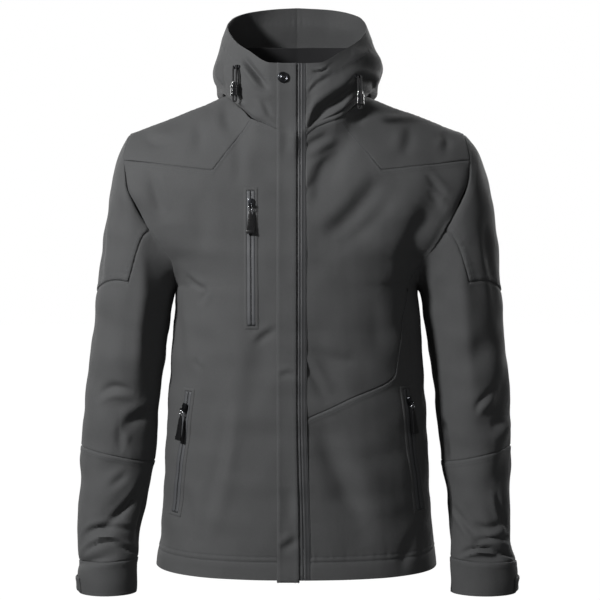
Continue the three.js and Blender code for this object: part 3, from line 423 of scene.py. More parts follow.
# %% The hood as a formula
def hood(sign, turn, v):
    """A place on the hood: sign is 1 on the wearer's left, turn 0 the front, and v 1 the rim."""
    turn, v = np.broadcast_arrays(np.asarray(turn, float), np.asarray(v, float))
    front = turn <= 90
    neck_x = read(HOOD, "turn", "neckX", turn)
    neck_h = np.where(front, read(NECK_FRONT, "x", "h", neck_x), read(NECK_BACK, "x", "h", neck_x))
    faces = [body(face, across_of(face, neck_x, neck_h), neck_h)[..., 1] for face in ("front", "back")]
    neck_y = np.where(front, *faces)
    behind = np.clip((turn - 80) / 40, 0, 1)
    bases = {"X": neck_x, "Y": neck_y, "H": neck_h + 1.5 * behind}
    out = []
    for axis in "XYH":
        knots = [bases[axis]] + [read(HOOD, "turn", name + axis, turn) for name in ("dip", "low", "bulge", "rim")]
        values = np.stack([np.ravel(k) for k in knots])
        out.append(through(HOOD_KNOTS, values, v.ravel()).reshape(v.shape))
    x, y, z = out
    edge = LEFT_EDGE if sign > 0 else RIGHT_EDGE
    beside_zip = (x < FRONT_BAND) & front
    x = np.where(beside_zip, lerp(edge, sign * FRONT_BAND, x / FRONT_BAND), sign * x)
    roll = HOOD_ROLL * behind * np.sin(np.pi * np.clip(v / HOOD_KNOTS[1], 0, 1))
    return stack(x, y, z + roll)


def stand_collar(s, v):
    """The stand collar, from the wearer's left round the back to the right."""
    turn = lerp(STAND["turn"][0], 360 - STAND["turn"][0], s)
    half = np.where(turn > 180, 360 - turn, turn)
    sign = np.where(turn > 180, -1, 1)
    base = hood(1, half, np.zeros(half.shape))
    flat = base * (1, 1, 0)
    base = base - flat / np.linalg.norm(flat, axis=-1, keepdims=True) * STAND_INSIDE
    x = lerp(base[..., 0], read(STAND, "turn", "topX", half), v)
    y = lerp(base[..., 1], read(STAND, "turn", "topY", half), v * v)
    z = lerp(base[..., 2] + STAND_LIFT, read(STAND, "turn", "topH", half), v)
    return stack(sign * x, y, z)


print("hood rim at the back", hood(1, 180, 1.0).round(1), "collar top", stand_collar(np.array(0.5), 1.0).round(1))

# %% [markdown]
# ## Panels measured in real millimetres
# A sewn seam is a narrow thing: the cloth dips into it within a millimetre, and the stitches beside it pull the
# cloth into small puckers. So each panel gets rows and columns at exact distances from its edges, close together
# beside a seam and about four millimetres apart elsewhere.

# %% Even spacing over a curved surface
EDGE = np.array([0, 0.7, 1.5, 2.3, 4, 5.7, 6.5, 7.3, 9, 12])
STEP = 3.9
SHORT = 45.0  # lines shorter than this get their edge spacing in proportion


def runs(points):
    """Distance along each row of points from the row's start."""
    step = np.linalg.norm(np.diff(points, axis=1), axis=2)
    return np.concatenate([np.zeros((len(points), 1)), np.cumsum(step, axis=1)], axis=1)


def spaced(lengths, sewn, rows=EDGE):
    scale = np.minimum(1, lengths / SHORT)
    start, end = rows if sewn[0] else EDGE[:1], EDGE if sewn[1] else EDGE[:1]
    first = start[:, None] * scale
    last = lengths - end[::-1, None] * scale
    cells = max(3, int(round(np.percentile(last[0] - first[-1], 80) / STEP)))
    middle = lerp(first[-1], last[0], np.linspace(0, 1, cells + 1)[1:-1, None])
    return np.concatenate([first, middle, last]).T


def resample(surface, across=(True, True), up=(True, True), columns=None, rows=EDGE, fine=200):
    """Places (u, v) on a surface, rows by v, at exact distances from its edges."""
    s = np.linspace(0, 1, fine)
    if columns is None:
        v, u = np.meshgrid(s, s, indexing="ij")
        run = runs(surface(u, v))
        u = np.stack([np.interp(w, r, s) for w, r in zip(spaced(run[:, -1], across), run)])
    else:
        u = np.repeat(columns[None, :], fine, axis=0)
    v = np.repeat(s[:, None], u.shape[1], axis=1)
    run = runs(surface(u, v).transpose(1, 0, 2))
    v = np.stack([np.interp(w, r, s) for w, r in zip(spaced(run[:, -1], up, rows), run)])
    u = np.stack([np.interp(row, s, u[:, j]) for j, row in enumerate(v)])
    return u.T, v.T


def grid_normals(points, closed=False):
    if closed:
        right, left = np.roll(points, -1, axis=1), np.roll(points, 1, axis=1)
    else:
        right = np.concatenate([points[:, 1:], points[:, -1:]], axis=1)
        left = np.concatenate([points[:, :1], points[:, :-1]], axis=1)
    above = np.concatenate([points[1:], points[-1:]])
    below = np.concatenate([points[:1], points[:-1]])
    normal = np.cross(right - left, above - below)
    return normal / np.maximum(np.linalg.norm(normal, axis=-1, keepdims=True), 1e-9)


print("rows beside a seam lie at", EDGE.tolist(), "mm, then every", STEP, "mm")

# %% [markdown]
# ## What happens to the cloth
# Three things shape the surface on top of the plain form. Creases are soft troughs with a raised lip on one side,
# bent and fading at both ends. Seams dip, and a topstitched seam has a raised band with small puckers.
# And no worn cloth is perfectly smooth: a faint unevenness runs over everything.

# %% Creases, seams and unevenness
CREASE = "a1 b1 a2 b2 a3 b3 width depth lip"
CREASE_GAIN = 1.95


def crease_relief(rows, a, b, scale=(1, 1)):
    """How far creases move a place out (above 0) or in. Each runs through three places and has a lip on its left."""
    a, b = a * scale[0], b * scale[1]
    out = np.zeros(a.shape)
    steps = np.linspace(0, 1, 9)
    for i in range(len(rows["a1"])):
        r = {name: rows[name][i] for name in CREASE.split()}
        knots = [np.array([r[f"a{k}"] * scale[0], r[f"b{k}"] * scale[1]]) for k in (1, 2, 3)]
        middle = 2 * knots[1] - (knots[0] + knots[2]) / 2
        line = np.array([(1 - t) ** 2 * knots[0] + 2 * t * (1 - t) * middle + t * t * knots[2] for t in steps])
        best = np.full(a.shape, 1e9)
        side, place = np.zeros(a.shape), np.zeros(a.shape)
        for k in range(len(steps) - 1):
            way = line[k + 1] - line[k]
            size = way @ way
            along = np.clip(((a - line[k, 0]) * way[0] + (b - line[k, 1]) * way[1]) / size, 0, 1)
            da, db = a - line[k, 0] - along * way[0], b - line[k, 1] - along * way[1]
            off = np.hypot(da, db)
            nearer = off < best
            best = np.where(nearer, off, best)
            side = np.where(nearer, np.sign(way[0] * db - way[1] * da), side)
            place = np.where(nearer, (k + along) / (len(steps) - 1), place)
        fade = np.sin(np.pi * np.clip(place, 0.02, 0.98)) ** 0.8
        signed = best * side
        trough = np.exp(-((signed / r["width"]) ** 2))
        lip = np.exp(-(((signed - 1.7 * r["width"]) / (1.1 * r["width"])) ** 2))
        out += CREASE_GAIN * fade * (r["lip"] * lip - r["depth"] * trough)
    return out


def seam_relief(d, along, stitched, seed):
    """A seam's dip at its edge and, where it is topstitched, the band, the sunk thread and the puckers."""
    out = -1.1 * np.exp(-((d / 1.1) ** 2))
    if stitched:
        out += 0.55 * smooth(0.5, 1.2, d) * (1 - smooth(7.0, 8.6, d))
        for line in (1.5, 6.5):
            out -= 0.28 * np.exp(-(((d - line) / 0.7) ** 2))
    wave = np.sin(along * 2 * np.pi / 9.5 + 2.2 * np.sin(along / 23 + seed) + seed)
    wave += 0.6 * np.sin(along * 2 * np.pi / 15.7 + 1.7 * seed)
    return out + (0.26 if stitched else 0.16) * wave * np.exp(-d / 7) * smooth(0, 1.5, d)


NOISE_RNG = np.random.default_rng(7)
NOISE_WAVES = [
    (NOISE_RNG.normal(size=3) * 2 * np.pi / wave, NOISE_RNG.uniform(0, 2 * np.pi), size)
    for wave, size in ((170, 1.0), (120, 0.8), (85, 0.5), (60, 0.26), (42, 0.12))
    for _ in range(4)
]


def unevenness(points):
    return sum(size * np.sin(points @ way + shift) for way, shift, size in NOISE_WAVES) / 2.6


print("creases, seams and", len(NOISE_WAVES), "waves of unevenness are ready")

# %% Materials
def cloth_material(name, color, roughness, sheen, bump, weave):
    material = simple_material(name, color, roughness)
    nodes, links = material.node_tree.nodes, material.node_tree.links
    shader = nodes["Principled BSDF"]
    shader.inputs["Sheen Weight"].default_value = sheen
    shader.inputs["Sheen Roughness"].default_value = 0.45
    place = nodes.new("ShaderNodeTexCoord")
    heather = nodes.new("ShaderNodeTexNoise")
    heather.inputs["Scale"].default_value = 900
    heather.inputs["Detail"].default_value = 3
    links.new(place.outputs["Object"], heather.inputs["Vector"])
    mix = nodes.new("ShaderNodeMix")
    mix.data_type = "RGBA"
    mix.inputs["A"].default_value = (*(c * 0.72 for c in color), 1)
    mix.inputs["B"].default_value = (*(c * 1.30 for c in color), 1)
    links.new(heather.outputs["Fac"], mix.inputs["Factor"])
    links.new(mix.outputs["Result"], shader.inputs["Base Color"])
    waves = []
    for direction in ("X", "Y"):
        wave = nodes.new("ShaderNodeTexWave")
        wave.bands_direction = direction
        wave.inputs["Scale"].default_value = weave
        wave.inputs["Distortion"].default_value = 1.2
        links.new(place.outputs["UV"], wave.inputs["Vector"])
        waves.append(wave)
    both = nodes.new("ShaderNodeMath")
    both.operation = "MULTIPLY"
    links.new(waves[0].outputs["Fac"], both.inputs[0])
    links.new(waves[1].outputs["Fac"], both.inputs[1])
    relief = nodes.new("ShaderNodeBump")
    relief.inputs["Strength"].default_value = bump
    relief.inputs["Distance"].default_value = 0.0003
    links.new(both.outputs["Value"], relief.inputs["Height"])
    links.new(relief.outputs["Normal"], shader.inputs["Normal"])
    return material


def hard_material(name, color, roughness, metallic=0.0, coat=0.0):
    material = simple_material(name, color, roughness)
    shader = material.node_tree.nodes["Principled BSDF"]
    shader.inputs["Metallic"].default_value = metallic
    shader.inputs["Coat Weight"].default_value = coat
    shader.inputs["Coat Roughness"].default_value = 0.12
    return material


MATERIALS = {
    "softshell": cloth_material("softshell", (0.052, 0.053, 0.054), 0.88, 0.04, 0.35, 420),
    "inner_cloth": cloth_material("inner_cloth", (0.006, 0.006, 0.007), 0.95, 0.03, 0.5, 300),
    "zip_tape": cloth_material("zip_tape", (0.030, 0.031, 0.033), 0.6, 0.05, 0.3, 500),
    "film": hard_material("film", (0.055, 0.057, 0.061), 0.6),
    "dark_tape": hard_material("dark_tape", (0.010, 0.010, 0.011), 0.6),
    "thread": hard_material("thread", (0.060, 0.062, 0.066), 0.65),
    "gunmetal": hard_material("gunmetal", (0.05, 0.052, 0.058), 0.28, 1.0, 0.3),
    "bright_metal": hard_material("bright_metal", (0.45, 0.46, 0.48), 0.25, 1.0),
    "pull_rubber": hard_material("pull_rubber", (0.004, 0.004, 0.0045), 0.3),
    "drawcord": hard_material("drawcord", (0.007, 0.007, 0.008), 0.8),
    "lock_plastic": hard_material("lock_plastic", (0.006, 0.006, 0.007), 0.22, 0.0, 0.6),
}
print("materials:", ", ".join(MATERIALS))

# %% [markdown]
# ## From a grid to a piece of cloth
# A panel's grid becomes a mesh with the cloth's own thickness turned inward. The cut size of each piece is
# measured on the grid itself: the cloth doesn't stretch, so its length and width are those of the flat cut.

# %% Panels into cloth
PANELS = {}


def to_world(points):
    return (points - (0, 0, SHOULDERS)) * MM


def grid_mesh(name, points, closed=False, inner=None):
    """A mesh from a grid of points. With an inner grid it becomes a closed wall between the two."""
    rows, cols = points.shape[:2]
    wide = cols if closed else cols - 1
    i, j = np.meshgrid(np.arange(rows - 1), np.arange(wide), indexing="ij")
    right = (j + 1) % cols
    corner_i, corner_j = np.stack([i, i, i + 1, i + 1], axis=-1), np.stack([j, right, right, j], axis=-1)
    faces = (corner_i * cols + corner_j).reshape(-1, 4)
    run, rise = runs(points), runs(points.transpose(1, 0, 2)).T
    centre = run[:, [cols // 2]]
    end = runs(np.concatenate([points, points[:, :1]], axis=1))[:, -1:] - centre
    u = (run - centre)[corner_i, corner_j]
    u = np.where((corner_j == 0) & (j[..., None] == cols - 1), end[corner_i, 0], u)
    uv = np.stack([u, rise[corner_i, corner_j]], axis=-1).reshape(-1, 4, 2)
    places = points.reshape(-1, 3)
    if inner is not None:
        size = len(places)
        places = np.concatenate([places, inner.reshape(-1, 3)])
        across = np.arange(wide)
        after = (across + 1) % cols
        top = (rows - 1) * cols
        rims = [
            np.stack([after, across, across + size, after + size], axis=-1),
            np.stack([top + across, top + after, top + after + size, top + across + size], axis=-1),
        ]
        if not closed:
            low = np.arange(rows - 1) * cols
            high = low + cols
            rims.append(np.stack([low, high, high + size, low + size], axis=-1))
            last = cols - 1
            rims.append(np.stack([high + last, low + last, low + last + size, high + last + size], axis=-1))
        rims = np.concatenate(rims)
        flipped = faces[:, ::-1] + size
        uv = np.concatenate([uv, uv[:, ::-1], np.zeros((len(rims), 4, 2))])
        faces = np.concatenate([faces, flipped, rims])
    mesh = bpy.data.meshes.new(name)
    mesh.from_pydata(to_world(places).tolist(), [], faces.tolist())
    layer = mesh.uv_layers.new(name="cloth")
    layer.data.foreach_set("uv", (uv * MM).reshape(-1).astype(np.float32))
    mesh.polygons.foreach_set("use_smooth", np.ones(len(mesh.polygons), bool))
    mesh.update()
    return mesh


def put(name, mesh, material):
    obj = bpy.data.objects.new(name, mesh)
    bpy.context.scene.collection.objects.link(obj)
    mesh.materials.append(MATERIALS[material])
    return obj


def baked(obj):
    """The object's mesh with its modifiers worked in and removed."""
    bpy.context.view_layer.update()
    finished = bpy.data.meshes.new_from_object(obj.evaluated_get(bpy.context.evaluated_depsgraph_get()))
    obj.modifiers.clear()
    obj.data = finished
    return obj


def thicken(obj, thick):
    wall = obj.modifiers.new("wall", "SOLIDIFY")
    wall.thickness = thick * MM
    wall.offset = -1
    wall.use_quality_normals = True
    return baked(obj)


def cut_size(points, closed):
    """Width, length and area of the flat cut, from the grid in millimetres."""
    loop = np.concatenate([points, points[:, :1]], axis=1) if closed else points
    width = runs(loop)[:, -1].max()
    length = runs(loop.transpose(1, 0, 2))[:, -1].max()
    a, b = loop[:-1, 1:] - loop[:-1, :-1], loop[1:, :-1] - loop[:-1, :-1]
    c, d = loop[1:, 1:] - loop[1:, :-1], loop[1:, 1:] - loop[:-1, 1:]
    area = (np.linalg.norm(np.cross(a, b), axis=-1) + np.linalg.norm(np.cross(c, d), axis=-1)).sum() / 2
    return width * MM, length * MM, area * MM * MM


def add_part(obj, mesh, thick=0.0):
    """Joins a second mesh into an object, as part of the same piece of cloth."""
    extra = bpy.data.objects.new("extra", mesh)
    bpy.context.scene.collection.objects.link(extra)
    mesh.materials.append(obj.data.materials[0])
    if thick:
        thicken(extra, thick)
    with bpy.context.temp_override(active_object=obj, selected_editable_objects=[obj, extra]):
        bpy.ops.object.join()


def cloth_piece(name, panel, thick=CLOTH, slot="softshell", more=()):
    points, closed = panel["points"], panel.get("closed", False)
    wall = lambda made: made["soft"] - made["normals"] * thick
    obj = put(name + "_cloth", grid_mesh(name + "_cloth", points, closed, wall(panel)), slot)
    for other in more:
        add_part(obj, grid_mesh("part", other["points"], False, wall(other)))
    obj.data.set_sharp_from_angle(angle=math.radians(62))
    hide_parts(name)
    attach(obj, "garment")
    width, length, area = cut_size(points, closed)
    for other in more:
        size = cut_size(other["points"], False)
        width, area = width + size[0], area + size[2]
    PANELS[name] = panel
    print(f"{name}: cut {width:.3f} x {length:.3f} m, {len(obj.data.polygons)} faces")
    return obj


def settle(p):
    """The front of the neck runs on smoothly into the hood, and the left edge lies over the zip's tape."""
    x, ahead = p[..., 0], smooth(40, 70, -p[..., 1])
    up = p[..., 2] - read(NECK_FRONT, "x", "h", np.minimum(np.abs(x), 84.0))
    near = np.exp(-(((np.sqrt(up ** 2 + 25) - 5) / np.where(up < 0, 18.0, 11.0)) ** 1.2))
    fill = np.interp(np.abs(x), *NECK_FILL) * near * ahead
    drawn = np.interp(x, *CENTRE_DRAWN) * (0.2 + 0.8 * smooth(0, 260, p[..., 2])) * ahead
    return p + stack(-drawn, -fill, 0 * x)


NECK_FILL = ([0, 45, 60, 74, 84, 92], [12, 12, 14, 11.5, 4, 0])
CENTRE_DRAWN = ([-34, 4, 19, 60, 120], [0, 4.5, 8, 4.5, 0])


def plain_front(p):
    return (1 - smooth(64, 84, np.abs(p[..., 0]))) * smooth(40, 70, -p[..., 1])


def plain_left(p):
    return 0.85 * (1 - smooth(98, 118, p[..., 0]))


def panel(surface, coords, sewn, stitched, creases=None, scale=(1, 1), columns=None, seed=0, closed=False,
          seams=None, extra=None, rows=EDGE, quiet=None, fades="", deep=""):
    """
    A panel's finished outer surface. sewn and stitched name the edges: l, r, b and t for left, right, bottom, top.
    coords gives the panel's own places for its creases. seams gives the distance to the top edge where the grid
    runs beside it.
    """
    u, v = resample(surface, ("l" in sewn, "r" in sewn), (True, True), columns, rows)
    points = settle(surface(u, v))
    a, b = coords(u, v)
    if closed:
        points, a, b, u, v = (array[:, :-1] for array in (points, a, b, u, v))
    normals = grid_normals(points, closed)
    run, rise = runs(points), runs(points.transpose(1, 0, 2)).T
    away = {"l": run, "r": run[:, -1:] - run, "b": rise, "t": rise[-1:] - rise}
    if seams is not None:
        away["t"] = seams(a, b)
    soft = unevenness(points)
    if creases is not None:
        relief = crease_relief(creases, a, b, scale)
        for edge in fades:
            relief = relief * smooth(0, 12, away[edge])
        soft = soft + relief
    if extra is not None:
        soft = soft + extra(a, b, away)
    points = points + normals * soft[..., None]
    seams_relief = 0
    for k, edge in enumerate(sewn):
        along = rise if edge in "lr" else run
        dip = seam_relief(away[edge], along, edge in stitched, seed + 1.3 * k)
        if edge in deep:
            dip = dip - 0.9 * np.exp(-((away[edge] / 2.4) ** 2))
        if quiet is not None and edge == quiet[0]:
            dip = dip * (1 - quiet[1](points))
        seams_relief = seams_relief + dip
    outer = points + normals * np.asarray(seams_relief)[..., None]
    return {"points": outer, "soft": points, "normals": normals, "away": away, "closed": closed, "a": a, "b": b}


print("cloth pieces are thickened inward by", CLOTH, "mm")

# %% [markdown]
# ## Fronts, yokes and back
# The right front is one piece from hem to yoke seam. The left front is cut in two along a slanting seam that
# rises from the zip to the armhole. The yokes wrap over the shoulder line, and the back is one wide piece.
# Long soft folds fall from the shoulders, since the cloth hangs from them, and short ones gather at the armholes.

# %% Creases of the body
FRONT_CREASES = table(
    CREASE,
    # wearer's right front
    [-60, 333, -46, 346, -28, 356, 5, 1.6, 1.0], [-215, 588, -206, 556, -196, 520, 8, 2.0, 1.1],
    [-162, 434, -148, 420, -131, 412, 4, 1.9, 1.0], [-131, 413, -136, 402, -141, 391, 4, 1.2, 0.7],
    [-149, 312, -146, 304, -141, 296, 4, 1.1, 0.6], [-103, 254, -116, 160, -139, 53, 10, 2.2, 1.2],
    [-182, 395, -174, 350, -171, 300, 8, 1.6, 0.8],
    [-150, 545, -138, 500, -142, 452, 14, 1.1, 0.6],
    [-168, 130, -160, 84, -164, 30, 9, 1.6, 0.8], [-90, 640, -84, 600, -88, 560, 10, 1.0, 0.5],
    # wearer's left front
    [18, 617, 34, 628, 52, 636, 4, 1.1, 0.7], [26, 598, 46, 612, 66, 624, 5, 1.3, 0.8],
    [38, 536, 41, 586, 72, 617, 8, 1.7, 1.1], [15, 546, 24, 559, 34, 572, 5, 0.8, 0.5],
    [44, 486, 84, 522, 122, 577, 12, 2.3, 1.5], [58, 470, 104, 504, 148, 560, 10, 1.0, 0.7],
    [188, 580, 201, 563, 216, 547, 5, 1.6, 0.9], [190, 558, 200, 545, 210, 531, 5, 1.2, 0.7],
    [196, 530, 172, 486, 160, 420, 16, 4.2, 0.8],
    [10, 312, 30, 290, 46, 256, 6, 1.7, 1.0], [30, 330, 60, 312, 88, 310, 8, 1.1, 0.6],
    [36, 226, 62, 150, 98, 68, 13, 1.8, 0.9], [156, 380, 168, 340, 172, 296, 8, 1.6, 0.9],
    [104, 400, 116, 360, 112, 320, 14, 1.0, 0.5], [170, 60, 158, 30, 150, 4, 8, 1.6, 0.8],
)
BACK_CREASES = table(
    CREASE,
    [-206, 588, -190, 556, -178, 512, 8, 2.4, 1.3], [-176, 520, -128, 492, -82, 488, 10, 2.2, 1.2],
    [-182, 470, -150, 440, -112, 430, 8, 2.0, 1.1], [210, 590, 196, 548, 190, 508, 8, 2.5, 1.3],
    [176, 512, 130, 478, 92, 470, 9, 2.3, 1.2], [182, 456, 150, 424, 120, 402, 7, 1.8, 1.0],
    [-60, 300, -84, 220, -124, 136, 11, 2.0, 1.1], [32, 330, 44, 230, 66, 118, 12, 1.9, 1.0],
    [-22, 250, -30, 160, -14, 60, 13, 1.5, 0.8], [132, 290, 148, 210, 170, 118, 10, 1.9, 1.0],
    [-170, 250, -160, 180, -166, 90, 10, 1.6, 0.8], [-6, 640, -14, 590, 4, 530, 14, 1.5, 0.8],
    [60, 660, 76, 620, 70, 560, 12, 1.6, 0.8], [-84, 650, -92, 610, -80, 566, 12, 1.5, 0.8],
    [100, 90, 92, 50, 100, 10, 10, 1.4, 0.7],
)

# %% Front panels
TOP_PLACES = np.array([0, 2, 4, 8, 11, 15]) / 15


def yoke_height(x):
    """The yoke seam has a sharp corner, with a straight part towards the neck and a slightly bent one outward."""
    outer = {name: YOKE_SEAM[name][1:] for name in "xh"}
    return np.where(x < 122, np.interp(x, [66, 122], [661, 586]), read(outer, "x", "h", x))


def front_top(edge):
    x = lambda s: np.interp(s, TOP_PLACES, [edge, 34, 66, 122, 180, 256])
    h = lambda s: np.where(x(s) < 66, read(NECK_FRONT, "x", "h", x(s)), yoke_height(x(s)))
    return lambda s: (x(s), h(s))


def hem_line(edge):
    start = float(across_of("front", edge, np.array(0.0)))

    def line(s):
        across = lerp(start, 1, s)
        return body("front", across, 0.0)[..., 0], lerp(HEM_FRONT, HEM_SIDE, across ** 3)
    return line


SLANT_PLACES = np.array([0, 3, 7, 10, 13, 15]) / 15


def slant_line(s):
    x = through(SLANT_PLACES, np.append(LEFT_EDGE, SLANT_SEAM["x"][1:]), s)
    return x, through(SLANT_PLACES, SLANT_SEAM["h"], s)


def front_surface(sign, edge, lower, upper):
    def place(u, v):
        s = u if sign > 0 else 1 - u
        (x0, h0), (x1, h1) = lower(s), upper(s)
        h = lerp(h0, h1, v)
        across = lerp(across_of("front", x0, h0), across_of("front", x1, h1), v)
        zero = np.zeros(np.shape(s))
        (ex0, eh0), (ex1, eh1) = lower(zero), upper(zero)
        straight = across_of("front", np.full(np.shape(s), edge), lerp(eh0, eh1, v))
        bent = lerp(across_of("front", ex0, eh0), across_of("front", ex1, eh1), v)
        across = np.minimum(across + (straight - bent) * (1 - s) ** 2, 1)
        across = np.where(s > 0.9999, 1, across)
        return across, h
    surface = lambda u, v: body("front", sign * place(u, v)[0], place(u, v)[1])

    def coords(u, v):
        p = surface(u, v)
        return p[..., 0], p[..., 2]
    return surface, coords


def hem_band(lines):
    """Stitched hem: the cloth turned up once, seen as a low band with sunk threads."""
    def relief(a, b, away):
        d = away["b"]
        out = 0.7 * (1 - smooth(lines[-1] + 0.5, lines[-1] + 3, d))
        for line in lines:
            out = out - 1.0 * np.exp(-(((d - line) / 1.3) ** 2))
        along = a * 2 * np.pi
        wave = np.sin(along / 13 + 1.5 * np.sin(a / 31)) + 0.7 * np.sin(along / 8.3)
        return out + 0.30 * wave * np.exp(-np.abs(d - lines[-1]) / 6)
    return relief


HEM_LINES = (25.5, 33.0)
HEM_ROWS = np.array([0, 2, 9, 16, 23, 24.3, 25.5, 26.7, 29, 31.6, 33, 34.4, 37])


def armhole_dip(edge, deep=3.2):
    """The panel sinks towards the armhole and swells a little beside the armpit, where it meets the sleeve."""
    def relief(a, b, away):
        near = np.exp(-((away[edge] / 9.0) ** 2))
        sink = smooth(500, 540, b) * (1 - smooth(582, YOKE_SIDE, b))
        swell = smooth(400, 425, b) * (1 - smooth(500, 540, b))
        return (3.3 * swell - deep * sink) * near
    return relief


def under_arm(turn, t, away):
    under = 1 - smooth(55, 80, np.minimum(turn, 360 - turn))
    return 3.6 * under * np.exp(-t * RING_MM / 18)


def together(*reliefs):
    return lambda a, b, away: sum(relief(a, b, away) for relief in reliefs)


surface, coords = front_surface(-1, RIGHT_EDGE, hem_line(RIGHT_EDGE), front_top(RIGHT_EDGE))
made = panel(surface, coords, "lrt", "t", FRONT_CREASES, seed=1,
             extra=together(hem_band(HEM_LINES), armhole_dip("l")), rows=HEM_ROWS, quiet=("t", plain_front), deep="l")
cloth_piece("front_right", made)
surface, coords = front_surface(1, LEFT_EDGE, hem_line(LEFT_EDGE), slant_line)
made = panel(surface, coords, "lrt", "t", FRONT_CREASES, seed=2,
             extra=together(hem_band(HEM_LINES), armhole_dip("r")), rows=HEM_ROWS, deep="r")
cloth_piece("front_left_lower", made)
surface, coords = front_surface(1, LEFT_EDGE, slant_line, front_top(LEFT_EDGE))
made = panel(surface, coords, "lrbt", "t", FRONT_CREASES, seed=3, extra=armhole_dip("r"), quiet=("t", plain_left),
             deep="r")
cloth_piece("front_left_upper", made)

# %% Yokes and back
def yoke_surface(sign):
    def surface(u, v):
        s = u if sign > 0 else 1 - u
        rise = np.sin(v * np.pi / 2)
        low_x = np.interp(s, (TOP_PLACES[2:] - TOP_PLACES[2]) / (1 - TOP_PLACES[2]), [66, 122, 180, 256])
        low_h = yoke_height(low_x)
        x = lerp(low_x, lerp(NECK_POINT, TIP, s), rise)
        h = lerp(low_h, crest(x), rise)
        neck_x = lerp(66.0, NECK_POINT, rise)
        gap = read(NECK_FRONT, "x", "h", neck_x) - lerp(661.0, crest(neck_x), rise)
        h = np.minimum(h + gap * (1 - s) ** 3, crest(x))
        across = across_of("front", x, h)
        side_h = lerp(YOKE_SIDE, crest(x), rise)
        short = 1 - across_of("front", lerp(256.0, TIP, rise), side_h)
        across = np.where(s > 0.9999, 1, np.minimum(across + short * s ** 4, 1))
        h = lerp(h, side_h, s ** 12)
        return body("front", sign * across, h)
    coords = lambda u, v: (surface(u, v)[..., 0], surface(u, v)[..., 2])
    return surface, coords


YOKE_CREASES = table(
    CREASE,
    [-228, 640, -206, 628, -178, 634, 7, 1.5, 0.8], [-150, 610, -142, 636, -150, 664, 9, 1.2, 0.6],
    [-96, 640, -104, 664, -100, 684, 8, 1.4, 0.7], [150, 606, 164, 630, 162, 656, 9, 1.4, 0.8],
    [214, 612, 222, 630, 214, 646, 7, 1.5, 0.8], [84, 650, 96, 668, 96, 688, 7, 1.4, 0.8],
)
for name, sign in (("yoke_right", -1), ("yoke_left", 1)):
    surface, coords = yoke_surface(sign)
    quiet = ("b", plain_left) if sign > 0 else None
    made = panel(surface, coords, "lrbt", "", YOKE_CREASES, seed=4 + sign, quiet=quiet, fades="lrbt", deep="r" if sign > 0 else "l")
    cloth_piece(name, made)

BACK_PLACES = np.array([0, 2, 4, 6, 11]) / 11


def back_surface(u, v):
    side = 1 - 2 * u
    s = np.abs(side)
    x = np.interp(s, BACK_PLACES, [0, 36, 74, NECK_POINT, TIP])
    h = np.where(x < NECK_POINT, read(NECK_BACK, "x", "h", x), crest(x))
    rise = 1 - (1 - v) ** 2
    across = np.where(s > 0.9999, 1, lerp(s, across_of("back", x, h), rise))
    return body("back", np.sign(side) * across, lerp(HEM_SIDE, h, rise))


back_coords = lambda u, v: (back_surface(u, v)[..., 0], back_surface(u, v)[..., 2])
made = panel(back_surface, back_coords, "lrt", "t", BACK_CREASES, seed=7,
             extra=together(hem_band(HEM_LINES), armhole_dip("l"), armhole_dip("r")), rows=HEM_ROWS,
             fades="lrt")
cloth_piece("back", made)

# %% [markdown]
# ## Sleeves
# Each sleeve has an upper-arm panel that runs down from the shoulder, a wide piece round it and under the arm,
# a lower sleeve from the elbow seam and a cuff. The arms hang slightly bent, so the cloth bunches inside the
# elbow and piles up above the cuff.

